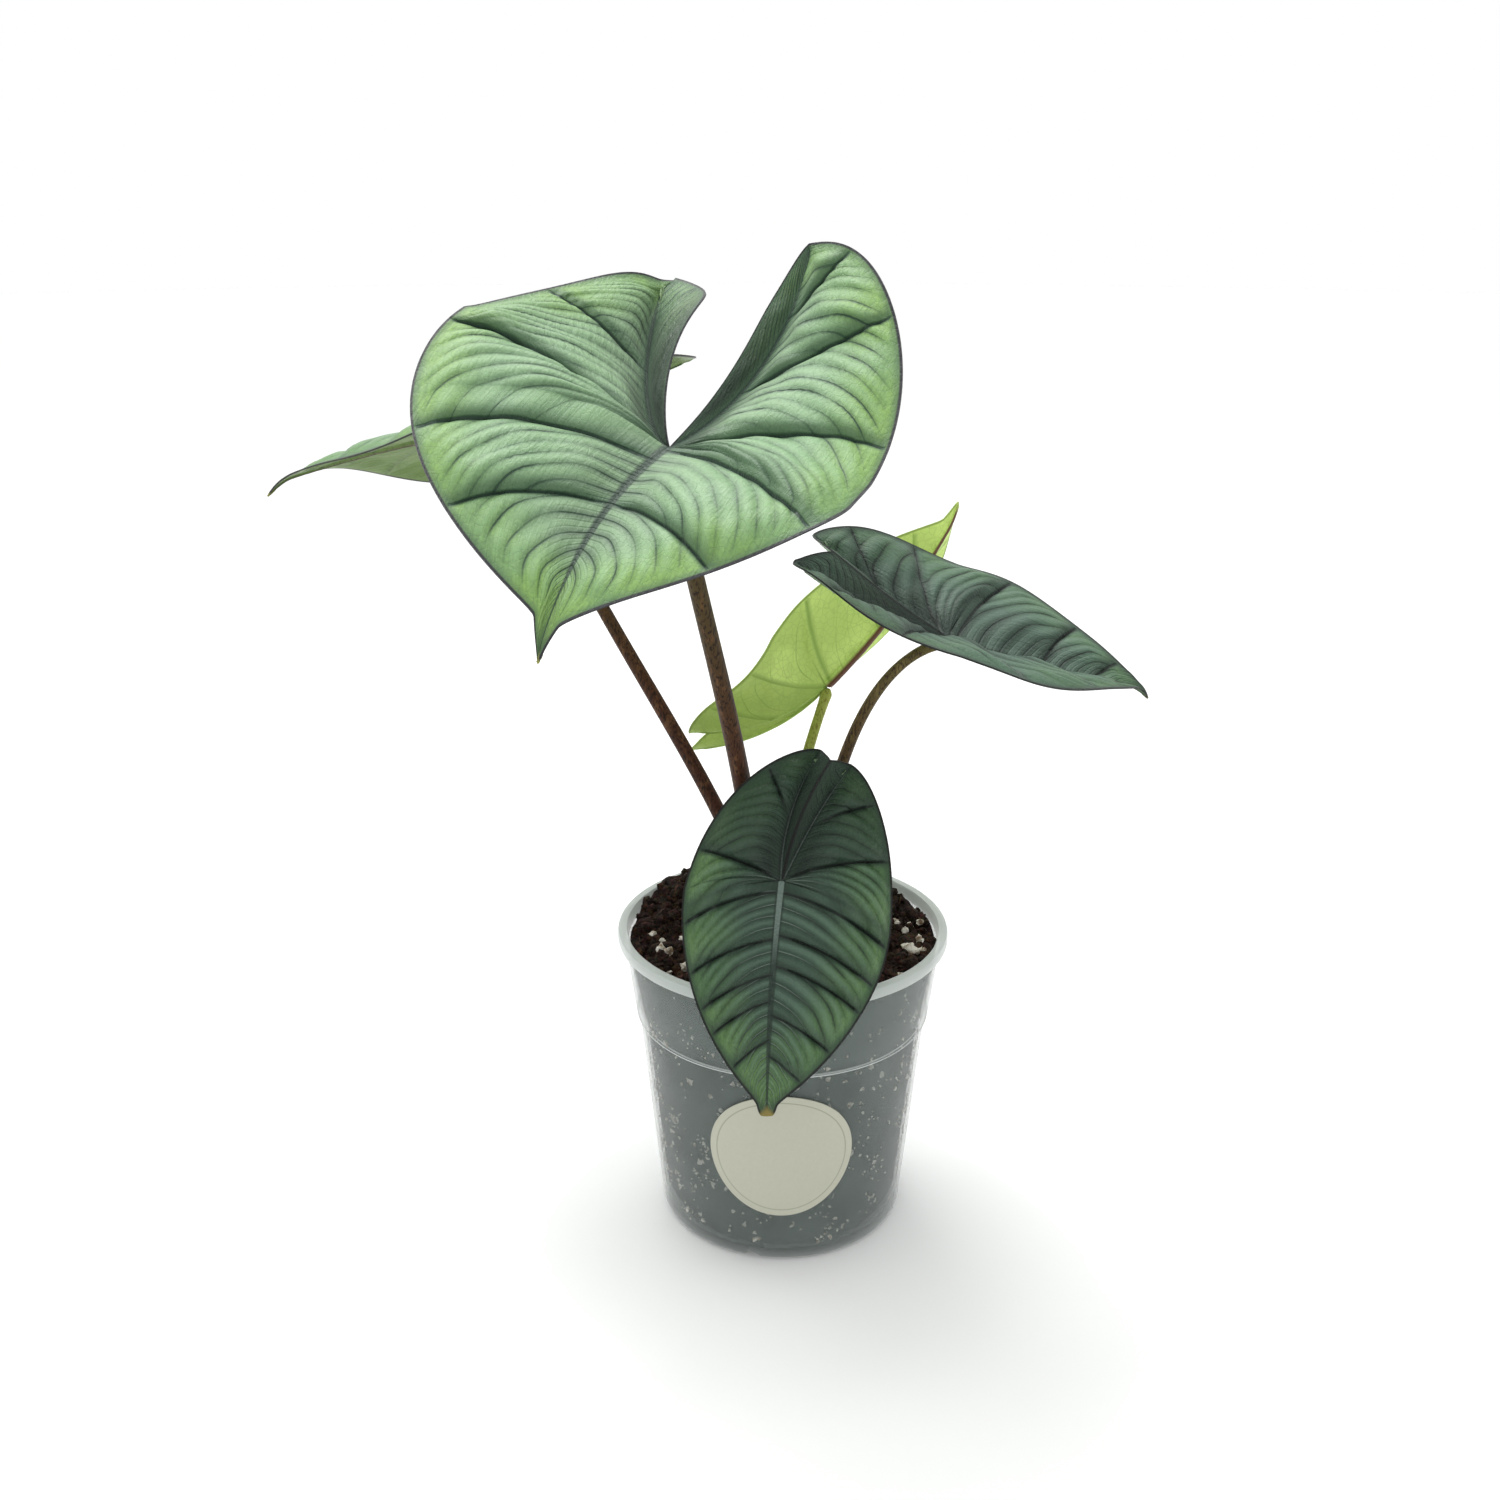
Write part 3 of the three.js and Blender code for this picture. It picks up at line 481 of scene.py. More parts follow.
def makeHalf(leaf, side):
    s, r = bladeSettings, reliefSettings
    half = leaf["left"] if side > 0 else leaf["right"]
    columns = columnList(leaf, half)
    rows = max(20, round(s["rows"] * leaf["detail"]))
    even = np.arange(rows + 1) / rows
    rowT = even - 0.5 * np.sin(2 * np.pi * even) / (2 * np.pi)  # closer at the vein and the margin
    q, t = np.meshgrid(columns, rowT, indexing="ij")
    x, y = flowPoint(leaf, half, q, t)
    flat = bladePoint(leaf, side, x, y)

    # Distances from the vein and from the margin, along the flow lines
    steps = np.linalg.norm(np.diff(flat, axis=1), axis=2)
    fromVein = np.concatenate([np.zeros((len(columns), 1)), np.cumsum(steps, axis=1)], axis=1)
    fromEdge = fromVein[:, -1:] - fromVein
    ribHalf = np.interp(columns, range(5), s["ribHalves"])[:, None] * leaf["detail"] ** 0.5
    ribPlace = fromVein / ribHalf

    # Patterns at each vertex, read from the strip before it
    panel, inner, u, widths, counts, sidePhase = makePanels(leaf, half, side, columns, rowT)
    before = np.concatenate([[0], np.arange(len(panel))])
    vertexU = np.concatenate([u[:1, 0], u[:, 1]])[:, None]
    phase = np.concatenate([sidePhase[:1, 0], sidePhase[:, 1]])
    number, vertexInner = panel[before][:, None], inner[before][:, None]
    panelSize = unitSize(flat, (number + vertexU) + 0 * t)
    sideSize = panelSize / counts[number] / np.sqrt(1 + 0.6 * t ** 2)
    spread = np.minimum(1, 0.25 + 1.2 * t) / leaf["detail"] ** 0.5

    # Quilting, a dome in each panel
    dome = np.sin(np.pi * np.clip(vertexU, 0, 1) ** r["domeLean"]) ** r["domeRound"]
    dome = dome * np.clip(widths[number] * spread / r["panelWidth"], 0, 1)
    dome *= np.where(vertexInner, r["innerCalm"]["dome"], np.where(number == 0, r["tipCalm"]["dome"], 1))
    relief = leaf["puff"] * dome * easeStep(fromVein, 0, r["domeRise"])
    relief = relief * easeStep(fromEdge, 0, r["domeFall"] * leaf["detail"])

    # Creases along the main side veins
    toVein = np.minimum(vertexU, 1 - vertexU) * panelSize
    crease = np.exp(-(toVein / r["creaseWidth"]) ** 2)
    crease = crease * easeStep(fromVein, 1.2 * ribHalf, 1.2 * ribHalf + r["creaseRise"])
    crease = r["creaseDepth"] * leaf["puff"] ** 0.5 * crease * easeStep(fromEdge, 0, r["creaseFall"])
    relief -= np.where(vertexInner, 0, crease)

    # Pillows between the finer side veins
    pillow = np.abs(np.sin(np.pi * phase)) ** r["pillowRound"]
    line = np.floor(phase)
    uneven = 0.8 + 0.35 * np.sin(2.3 * line + 1.9 * number) + 0.25 * np.sin(7 * t + 2.9 * line)
    uneven *= np.clip((widths / counts)[number] * spread / r["pillowWidth"], 0, 1)
    pillow *= uneven * easeStep(fromVein, *r["pillowRise"])
    low, high = r["pillowFall"]
    pillow = leaf["sidePuff"] * pillow * easeStep(fromEdge, low, high * leaf["detail"])
    relief += pillow * np.where(vertexInner, r["innerCalm"]["pillow"], 1)

    # Uneven rolls over the whole blade and a rippled margin
    roll = np.sin(0.21 * x + 0.13 * y + 1) * np.cos(0.17 * y - 0.11 * x)
    roll += 0.5 * np.sin(0.47 * x - 0.33 * y + side)
    roll = r["rollHeight"] * leaf["puff"] * roll * easeStep(fromVein, *r["rollRise"])
    relief += roll * easeStep(fromEdge, 0, r["rollFall"])
    place = columnEnds(leaf, half, columns)[0][:, None]
    ripple = leaf["wave"] * t ** 4 * np.sin(place * r["ripples"] + side) * np.minimum(1, place * 3)
    relief += np.where(place < 2, ripple, 0)

    # Midrib and lobe veins, raised a little above and much more below
    crown = np.sqrt(np.clip(1 - ribPlace ** 2, 0, 1)) * ribHalf
    relief += s["ribRise"] * np.minimum(crown, s["ribRiseSlope"] * fromEdge)
    depth = np.sqrt(np.clip(1 - (ribPlace / s["ribWiden"]) ** 2, 0, 1)) * ribHalf * s["ribDepth"]
    depth = np.minimum(depth, s["ribDepthSlope"] * fromEdge)

    # Relief stands straight up at a vein, where the blade folds, and square to the surface elsewhere
    ups = framesAt(leaf, half, x)[..., 2, :]
    normals = -side * np.cross(np.gradient(flat, axis=0), np.gradient(flat, axis=1))
    normals /= np.maximum(np.linalg.norm(normals, axis=2, keepdims=True), 1e-9)
    square = easeStep(fromVein, *r["squareRise"])[..., None]
    points = flat + relief[..., None] * (ups * (1 - square) + normals * square)

    # The mesh, with the patterns in UV maps and the depth of the veins below in an attribute
    count = len(columns)
    bpy.ops.mesh.primitive_grid_add(x_subdivisions=count - 1, y_subdivisions=rows, size=1)
    item = bpy.context.object
    corners = np.empty(len(item.data.loops), int)
    item.data.loops.foreach_get("vertex_index", corners)
    corners = corners.reshape(-1, 4)
    at = corners % count, corners // count
    strips = at[0].min(axis=1)[:, None]
    ends = at[0] - strips
    lobeShare = np.clip(np.where(columns > 3, 4 - columns, columns - 2), 0, 1)
    along = np.where(columns >= 2, 1 + lobeShare, np.minimum(columns - 1, 0))[:, None] + 0 * t
    maps = {
        "panel": (10 * inner[strips] + panel[strips] + u[strips, ends], sidePhase[strips, ends, at[1]]),
        "place": (ribPlace[at], fromEdge[at]),
        "size": (panelSize[at], sideSize[at]),
        "vein": (fromVein[at], along[at]),
    }
    for name, pair in maps.items():
        layer = item.data.uv_layers.get(name) or item.data.uv_layers.new(name=name)
        layer.data.foreach_set("uv", np.stack(pair, axis=-1).ravel())
    setPoints(item, points.transpose(1, 0, 2).reshape(-1, 3) * mm)
    addValues(item, "depth", depth.T.ravel())
    if side > 0:
        item.data.flip_normals()
    return item


def makeBlade(name, leaf, materials):
    s = bladeSettings
    leaf["midRail"] = makeRail(leaf, leaf["tip"], 1, leaf["bend"], leaf["sway"], leaf["twist"], leaf["hook"])
    for half in (leaf["left"], leaf["right"]):
        turns = half["lift"], half["lobeSway"], half["lobeTwist"]
        half["lobeRail"] = makeRail(leaf, half["lobe"], -1, *turns, 0)
    blade = joinAll([makeHalf(leaf, 1), makeHalf(leaf, -1)], "leaf_" + name)
    weld(blade, 2e-7)
    depth = np.empty(len(blade.data.vertices))
    blade.data.attributes["depth"].data.foreach_get("value", depth)
    blade.data.attributes.remove(blade.data.attributes["depth"])
    for material in materials:
        blade.data.materials.append(material)

    # Thickness grows at the veins, which stand out below
    ribs = blade.vertex_groups.new(name="ribs")
    levels = np.round(depth / depth.max() * s["ribLevels"])
    for level in range(1, s["ribLevels"] + 1):
        ribs.add([int(i) for i in np.nonzero(levels == level)[0]], level / s["ribLevels"], "REPLACE")
    wall = blade.modifiers.new("wall", "SOLIDIFY")
    wall.thickness = (s["thickness"] + depth.max()) * mm
    wall.thickness_vertex_group = s["thickness"] / (s["thickness"] + depth.max())
    wall.offset = -1
    wall.vertex_group = "ribs"
    wall.material_offset = 1
    applyModifiers(blade)
    finishPiece(blade, "leaf_" + name, 60, "blade_" + name)


# Leaf surface: a waxy cuticle over quilted tissue. The bloom scatters light, so it looks silvery and
# satin, darker in the sunken veins, partly by the veins' own colour and partly by painted shade, and
# greener towards the margin. Painted shade also lies beside the veins, along the midrib's sides, over
# the lobes and in the folds round the junction, and painted highlights lie on the crests of the
# pillows and on fine lines near the midrib.
commonLook = {"roughness": 0.42, "sheen": 0.05, "glint": 0, "lobeShade": 0, "depth": 1, "gleam": "#8b9d92"}
leafLooks = {
    "large": {
        "near": "#7d9378", "middle": "#88ab80", "outer": "#80a869", "fresh": "#90b85e", "shade": "#426045",
        "valley": "#263f30", "deep": "#182d21", "rib": "#35493c", "ribEdge": "#263a2e", "rim": "#25262a",
        "under": "#6d8b5a", "underVein": "#86a073", "underRib": "#5f7149", "point": "#a9a95a",
        "crest": "#9bc090", "sheen": 0.08, "ribFade": 1.05,
    },
    "back": {
        "near": "#647d66", "middle": "#6f9070", "outer": "#6e965c", "fresh": "#7ea458", "shade": "#44624a",
        "valley": "#2f4a38", "deep": "#20362a", "rib": "#5f7462", "ribEdge": "#3f5647", "rim": "#33362f",
        "under": "#6c8549", "underVein": "#586f40", "underRib": "#4e4a2c", "point": "#8f8f4c",
        "crest": "#8aa886", "roughness": 0.45, "sheen": 0.08, "ribFade": 1.1, "depth": 0.8,
    },
    "young": {
        "near": "#83a047", "middle": "#88a84a", "outer": "#8fb04e", "fresh": "#9bbb58", "shade": "#6f8f3a",
        "valley": "#5f7f33", "deep": "#54722d", "rib": "#5f3d22", "ribEdge": "#5e4d27", "rim": "#8fa84c",
        "under": "#d0ec7e", "underVein": "#93b350", "underRib": "#5f3a20", "point": "#b3c76a",
        "crest": "#9bbb58", "roughness": 0.45, "ribFade": 1.5, "depth": 0.4,
    },
    "right": {
        "near": "#2b4136", "middle": "#3c5646", "outer": "#52725a", "fresh": "#587a50", "shade": "#22362b",
        "valley": "#101c16", "deep": "#101b15", "rib": "#2c3f35", "ribEdge": "#18271f", "rim": "#1b231e",
        "under": "#5f7d5c", "underVein": "#748c6b", "underRib": "#4c5a38", "point": "#6b6a3c",
        "crest": "#6f8878", "ribFade": 0.8, "lobeShade": 0.2,
    },
    "front": {
        "near": "#32483d", "middle": "#435d48", "outer": "#46693f", "fresh": "#64874f", "shade": "#22372a",
        "valley": "#101e16", "deep": "#0c1710", "rib": "#6d7e76", "ribEdge": "#1b2b23", "rim": "#0b0f0c",
        "under": "#58744f", "underVein": "#728a66", "underRib": "#55683f", "point": "#8c7d3f",
        "crest": "#6d8975", "roughness": 0.4, "sheen": 0.06, "ribFade": 0.42, "glint": 0.5, "lobeShade": 0.65,
    },
}

# Masks of the leaf surface, by the value that each reads. Distances from veins and margin are millimetres.
leafMasks = {
    "mainAfter": {"mainAfter": (0, 6, 0.82, 0), "mainLineA": (0.2, 0.8, 1, 0)},
    "mainBefore": {"mainBefore": (0, 2, 0.8, 0), "mainLineB": (0.1, 0.5, 1, 0)},
    "sideAfter": {"sideAfter": (0, 2.1, 0.66, 0), "sideLineA": (0.1, 0.5, 0.95, 0)},
    "sideBefore": {"sideBefore": (0, 1, 0.75, 0), "sideLineB": (0, 0.35, 0.9, 0)},
    "chance": {"strength": (0, 1, 0.3, 1)}, "sideSize": {"room": (1.2, 4.5)},
    "fromEdge": {"offEdge": (1.5, 9), "mainEnd": (0.4, 2), "nearEdge": (3, 24, 1, 0),
                 "band": (0.8, 3.4, 0.6, 0), "rim": (0.45, 1.05, 1, 0)},
    "fromVein": {"nearVein": (2, 17, 1, 0), "awayVein": (2, 28), "crease": (0.3, 6, 0.95, 0),
                 "sharpCrease": (0.4, 2, 1, 0)},
    "fromRib": {"ribEdge": (0.9, 1.7, 1, 0), "rib": (0.6, 0.95, 1, 0)},
    "along": {"lobe": (0.5, 0.9), "broad": (0.5, 0.9, 1, 0), "foot": (1, 1.45, 1, 0),
              "lobeFoot": (1.2, 1.95, 1, 0), "lobeEnd": (1.75, 1.97, 1, 0),
              "point": (-0.985, -0.94, 1, 0), "tip": (-0.95, -0.55, 1, 0)},
    "panelPhase": {"inner": (9.4, 9.6)}, "third": {"third": (0, 0.22, 1, 0)},
    "middle": {"crest": (0.1, 0.45)}, "net": {"net": (0, 0.09, 1, 0)},
    "clouds": {"cloud": (0.38, 0.62)}, "patches": {"patchy": (0.36, 0.6, 0.3, 1)},
    "speckle": {"tissue": (0.3, 0.7)}, "wrinkles": {"wrinkle": (0.3, 0.7)},
}

# Layers of colour from the ground up: the masks that carry each, its colour, and its weight if it has one
topLayers = [
    ("awayVein", "middle"), ("nearEdge", "outer"), ("cloud nearEdge", "fresh", 0.8), ("tip", "fresh", 0.8),
    ("tissue", "shade", 0.22), ("wrinkle", "shade", 0.22), ("third nearVein", "shade", 0.5),
    # Painted highlight: the crest colour lights the middle of each pillow between the side veins.
    ("net", "shade", 0.14), ("crest room offEdge", "crest", 0.38), ("lobe", "shade", "lobeShade"),
    # Painted shade: bands of the shade colour on both sides of each main and side vein, wider on the stalk side,
    # where the slope dips into the vein away from the light.
    ("sideAfter sides", "shade"), ("sideBefore sides", "shade"),
    ("mainAfter mainEnd", "shade"), ("mainBefore mainEnd", "shade"),
    # The dark vein colour is the veins' own dark green on the side and main vein lines; in the lobe creases and
    # over the lobe veins it is painted shade.
    ("sideLineA sides", "valley"), ("sideLineB sides", "valley"),
    ("sideLineA nearVein broad", "gleam", "glint"),
    ("mainLineA mainEnd", "valley"), ("mainLineB mainEnd", "valley"),
    # Painted shade: the inner strips and their pleats take shade, and their feet and the lobe feet near the vein
    # take the darkest colour, where the folds round the junction lie in shade.
    ("inner", "shade", 0.45), ("inner sideAfter", "shade"), ("inner sideLineA", "valley"),
    ("inner lobeFoot", "deep", 0.92), ("lobe foot nearVein", "deep", 0.8),
    # Painted shade in the crease along each lobe vein, short of the lobe's end.
    ("lobe lobeEnd crease", "shade"), ("lobe lobeEnd sharpCrease", "valley"), ("band", "shade"),
    # Painted shade: the rib edge colour along both sides of the midrib, and the dark vein colour over the lobe
    # veins as far as the lobes are shaded; the rib colour itself is the rib's own.
    ("ribEdge broad", "ribEdge", 0.8), ("rib ribFoot", "rib"), ("lobe rib", "valley", "lobeShade"),
    ("rim", "rim"), ("point", "point"),
]
underLayers = [
    ("cloud", "underVein", 0.4), ("net", "underVein", 0.3), ("lobe", "underVein", 0.45),
    ("sideLineA sides", "underVein"), ("mainLineA mainEnd", "underVein"), ("mainBefore mainEnd", "underVein"),
    ("ribEdge broad", "underRib"), ("rim", "rim"), ("point", "point"),
]
reliefLayers = [
    ("speckle", 0.2), ("net", -0.15), ("third nearVein", -0.5), ("wrinkles", -1.6), ("sideLineA sides", -0.7),
    ("mainLineA mainEnd", -0.8),
]


# Millimetres past the last line of a pattern, and short of the next one
def lineGaps(tree, phase, size):
    after = addNode(tree, "Math", {0: phase}, operation="FRACT")[0]
    before = addNode(tree, "Math", {0: 1, 1: after}, operation="SUBTRACT")[0]
    return product(tree, [after, size]), product(tree, [before, size])


def makeLeafMaterial(name, look, under):
    material, tree, where = newMaterial(name)
    v = {}
    for key, pair in {"panel": ("panelPhase", "sidePhase"), "place": ("fromRib", "fromEdge"),
                      "size": ("panelSize", "sideSize"), "vein": ("fromVein", "along")}.items():
        parts = addNode(tree, "SeparateXYZ", {0: addNode(tree, "UVMap", uv_map=key)[0]})
        v[pair[0]], v[pair[1]] = parts[0], parts[1]
    v["mainAfter"], v["mainBefore"] = lineGaps(tree, v["panelPhase"], v["panelSize"])
    v["sideAfter"], v["sideBefore"] = lineGaps(tree, v["sidePhase"], v["sideSize"])
    line = addNode(tree, "Math", {0: v["sidePhase"]}, operation="ROUND")[0]
    panel = addNode(tree, "Math", {0: v["panelPhase"]}, operation="FLOOR")[0]
    both = addNode(tree, "CombineXYZ", {0: line, 1: panel})[0]
    v["chance"] = addNode(tree, "TexWhiteNoise", {"Vector": both})["Value"]
    thrice = product(tree, [v["sidePhase"], 3])
    v["third"] = addNode(tree, "Math", {0: thrice, 1: 0.5}, operation="PINGPONG")[0]
    v["middle"] = addNode(tree, "Math", {0: v["sidePhase"], 1: 0.5}, operation="PINGPONG")[0]
    for key, scale, detail in (("clouds", 45, 4), ("speckle", 1100, 2), ("patches", 75, 2)):
        v[key] = addNode(tree, "TexNoise", {"Vector": where, "Scale": scale, "Detail": detail})[0]
    creased = addNode(tree, "CombineXYZ", {
        0: product(tree, [v["sidePhase"], 1.1]), 1: product(tree, [v["fromVein"], 0.7]), 2: panel})[0]
    inputs = {"Vector": creased, "Scale": 1, "Detail": 4, "Roughness": 0.6}
    v["wrinkles"] = addNode(tree, "TexNoise", inputs)[0]
    inputs = {"Vector": where, "Scale": 380}  # veinlets about 2.6 mm apart
    v["net"] = addNode(tree, "TexVoronoi", inputs, feature="DISTANCE_TO_EDGE")["Distance"]

    m = {"speckle": v["speckle"], "wrinkles": v["wrinkles"]}
    for key, ramps in leafMasks.items():
        m.update(addMasks(tree, v[key], ramps))
    m.update(addMasks(tree, v["along"], {"ribFoot": (-look["ribFade"], -0.3 * look["ribFade"])}))
    m["sides"] = product(tree, [m["room"], m["offEdge"], m["strength"], m["patchy"]])

    def blend(names, *weights):
        return product(tree, [m[key] for key in names.split()] + [look.get(w, w) for w in weights])

    ground, layers = ("under", underLayers) if under else ("near", topLayers)
    body = layColours(tree, look[ground], [
        (blend(names, *weight), look[colour]) for names, colour, *weight in layers])
    height = total(tree, [blend(names, weight) for names, weight in reliefLayers])
    bump = addNode(tree, "Bump", {"Strength": 0.7 * look["depth"], "Distance": 0.0005, "Height": height})[0]
    low, high = look["roughness"] - 0.05, look["roughness"] + (0.18 if under else 0.08)
    gloss = addMasks(tree, v["clouds"], {"gloss": (0.3, 0.7, low, high)})["gloss"]
    finishMaterial(tree, {
        "Base Color": body, "Roughness": gloss, "Normal": bump, "IOR": 1.42,
        "Sheen Weight": look["sheen"], "Sheen Roughness": 0.6, "Specular IOR Level": 0.4})
    return material


for leafName, leaf in leaves.items():
    leafLook = {**commonLook, **leafLooks[leafName]}
    makeBlade(leafName, leaf, [makeLeafMaterial("leaf cuticle, " + leafName, leafLook, False),
                               makeLeafMaterial("leaf underside, " + leafName, leafLook, True)])


# Stalks: tapered, with a swollen foot that sheathes the crown and a flare under the blade.
stalks = {
    "large": {"look": "dark", "foot": (-7, -5), "low": (-9, -18, 180), "high": (-28, -50, 243),
              "radii": (3.7, 2.7)},
    "back": {"look": "dark", "foot": (-7, 5), "low": (-6, 14, 144), "high": (-70, 38, 210),
             "radii": (3.3, 2.3)},
    "young": {"look": "young", "foot": (2, 9), "low": (-2, 18, 140), "high": (8, 36, 165),
              "radii": (2.6, 1.8)},
    "right": {"look": "olive", "foot": (9, 1), "low": (12, -4, 152), "high": (21, -12, 216),
              "radii": (2.9, 1.6)},
    "front": {"look": "olive", "foot": (2, -9), "low": (2, -14, 132), "high": (0, -32, 149),
              "radii": (2.8, 1.7)},
}
stalkSettings = {
    "footHeight": 96, "footSwell": 0.45, "swellTo": 0.22, "flare": 0.35, "flareFrom": 0.9, "taper": 0.7,
    "seat": 1.6, "cuts": 14, "sides": 5, "steps": 8, "topReach": 6, "topRound": (0.25, 2.6),
}

# Stalk skin: a smooth waxy rind with fine dark flecks drawn out along its length.
stalkLooks = {
    "dark": {"main": "#472b1b", "low": "#472a20", "high": "#4a3d22", "fleck": "#21150f", "light": "#6b4b2f"},
    "young": {"main": "#a3ac52", "low": "#8a9444", "high": "#a9b35a", "fleck": "#7d7a34", "light": "#bcc46e"},
    "olive": {"main": "#5b4a2e", "low": "#5e3f34", "high": "#5f5c2f", "fleck": "#382a1c", "light": "#7d6f45"},
}


def makeStalkMaterial(name):
    look = stalkLooks[name]
    material, tree, where = newMaterial("stalk rind, " + name)
    drawn = addNode(tree, "Mapping", {"Vector": where, "Scale": (1, 1, 0.3)})[0]
    height = addNode(tree, "SeparateXYZ", {0: where})[2]
    flecks = addNode(tree, "TexNoise", {"Vector": drawn, "Scale": 1500, "Detail": 3})[0]
    lights = addNode(tree, "TexNoise", {"Vector": drawn, "Scale": 520, "Detail": 2})[0]
    m = addMasks(tree, height, {"main": (0.12, 0.2), "high": (0.19, 0.25)}, "LINEAR")
    m.update(addMasks(tree, lights, {"light": (0.52, 0.7, 0, 0.6)}))
    m.update(addMasks(tree, flecks, {"fleck": (0.5, 0.62, 0, 0.85)}))
    body = layColours(tree, look["low"], [(m[key], look[key]) for key in ("main", "high", "light", "fleck")])
    bump = addNode(tree, "Bump", {"Strength": 0.35, "Distance": 0.0003, "Height": flecks})[0]
    finishMaterial(tree, {
        "Base Color": body, "Roughness": 0.5, "Normal": bump, "IOR": 1.42, "Specular IOR Level": 0.2})
    return material


def makeStalk(name, stalk, material):
    s = stalkSettings
    leaf = leaves[name]
    rail = leaf["midRail"][1]
    foot = Vector((*stalk["foot"], s["footHeight"])) * mm
    low, high = Vector(stalk["low"]) * mm, Vector(stalk["high"]) * mm
    end = Vector(rail[0][0] - rail[0][2] * s["seat"]) * mm
    bpy.ops.curve.primitive_bezier_curve_add()
    line = bpy.context.object
    curve = line.data
    points = curve.splines[0].bezier_points
    for point, co, left, right in ((points[0], foot, foot * 2 - low, low),
                                   (points[1], end, high, end * 2 - high)):
        point.handle_left_type = point.handle_right_type = "FREE"
        point.co, point.handle_left, point.handle_right = co, left, right
    bpy.ops.object.mode_set(mode="EDIT")
    bpy.ops.curve.select_all(action="SELECT")
    bpy.ops.curve.subdivide(number_cuts=s["cuts"])
    bpy.ops.object.mode_set(mode="OBJECT")
    points = curve.splines[0].bezier_points
    wide, narrow = stalk["radii"]
    for i, point in enumerate(points):
        share = i / (len(points) - 1)
        swell = s["footSwell"] * (1 - easeStep(share, 0, s["swellTo"]))
        flare = s["flare"] * easeStep(share, s["flareFrom"], 1)
        point.radius = float((wide + (narrow - wide) * share ** s["taper"]) * (1 + swell + flare))
    curve.bevel_depth = mm
    curve.bevel_resolution = s["sides"]
    curve.resolution_u = s["steps"]
    curve.use_fill_caps = True
    pick(line)
    bpy.ops.object.convert(target="MESH")
    line = bpy.context.object
    weld(line, 1e-6, True)

    # Rounds the top off, where it runs into the rib under the blade
    axis = np.array((end - high).normalized())
    points = getPoints(line)
    below = (np.array(end) - points) @ axis
    middle = np.array(end) - below[:, None] * axis
    start, depth = s["topRound"]
    shrink = np.where(np.linalg.norm(points - np.array(end), axis=1) < s["topReach"] * mm,
                      np.sqrt(np.clip((below / mm + start) / depth, 0, 1)), 1)
    setPoints(line, middle + (points - middle) * shrink[:, None])
    finishPiece(line, "stalk_" + name, 50, "petiole_" + name, material)


stalkMaterials = {name: makeStalkMaterial(name) for name in stalkLooks}
for stalkName, stalk in stalks.items():
    makeStalk(stalkName, stalk, stalkMaterials[stalk["look"]])


# Pot: a thin wall of frosted polypropylene, moulded with a rolled rim, a stacking step and feet.
potSettings = {
    "height": 114, "rim": 60, "rimHeight": 4.6, "lip": 2.6, "wall": 1.1, "foot": 45.4, "footRounding": 3.5,
    "stepHeight": 80.4, "stepRadius": 53.8, "stepDepth": 1,
    "channelDepth": 2, "channelInner": 13, "channelOuter": 34, "drains": 8, "drainRadius": 3.5,
    "drainCircle": 24, "notches": 3, "notchRadius": 3, "notchTurn": -13, "sides": 144, "cutterLength": 14,
}


def wallRadius(height):
    p = potSettings
    top = p["height"] - p["rimHeight"]
    if height > p["stepHeight"]:
        share = (height - p["stepHeight"]) / (top - p["stepHeight"])
        return p["stepRadius"] + (p["rim"] - p["lip"] - p["stepRadius"]) * share
    share = (height - p["footRounding"]) / (p["stepHeight"] - p["footRounding"])
    return p["foot"] + (p["stepRadius"] - p["stepDepth"] - p["foot"]) * share


# Radius and height round the section of the wall, up its outside and down its inside
def potProfile():
    p = potSettings
    rim, foot, step, wall, r = (p[key] for key in ("rim", "foot", "stepRadius", "wall", "footRounding"))
    tall, ledge, under = p["height"], p["stepHeight"], step - p["stepDepth"]
    top, floor = tall - p["rimHeight"], p["channelDepth"] + wall
    outer = [(0.01, 0), (p["channelInner"] - 1, 0), (p["channelInner"], p["channelDepth"]),
             (p["channelOuter"], p["channelDepth"]), (p["channelOuter"] + 1, 0)]
    outer += [(foot - r + r * math.sin(a), r - r * math.cos(a)) for a in np.radians([0, 18, 36, 54, 72, 90])]
    outer += [(wallRadius(h), h) for h in (12, 24, 36, 48, 60, 70, 76)]
    outer += [(under, ledge - 0.2), (step - 0.2, ledge + 0.2), (step, ledge + 0.8)]
    outer += [(wallRadius(h), h) for h in (84, 92, 100, 106)]
    outer += [(wallRadius(top), top), (rim - 0.9, top + 0.1), (rim - 0.25, top + 0.5), (rim, top + 1.2),
              (rim, tall - 1.3), (rim - 0.3, tall - 0.5), (rim - 1, tall - 0.1), (rim - 2.2, tall),
              (rim - 3.2, tall - 0.3)]
    inner = [(rim - p["lip"] - wall, tall - 1.4), (wallRadius(106) - wall, 106), (wallRadius(94) - wall, 94),
             (step - wall, ledge + 2), (under - wall, ledge - 1.5)]
    inner += [(wallRadius(h) - wall, h) for h in (70, 55, 40, 25, 12)]
    inner += [(foot - wall, floor + r), (foot - wall - r * 0.3, floor + r * 0.3), (foot - wall - r, floor),
              (0.01, floor)]
    return outer + inner


# A round bar that cuts a hole, standing up or lying along its spoke.
def addCutter(radius, circle, turn, rotation=(0, 0, 0)):
    bpy.ops.mesh.primitive_cylinder_add(
        vertices=32, radius=radius * mm, depth=potSettings["cutterLength"] * mm, rotation=rotation,
        location=(circle * math.cos(turn) * mm, circle * math.sin(turn) * mm, 0))
    return bpy.context.object


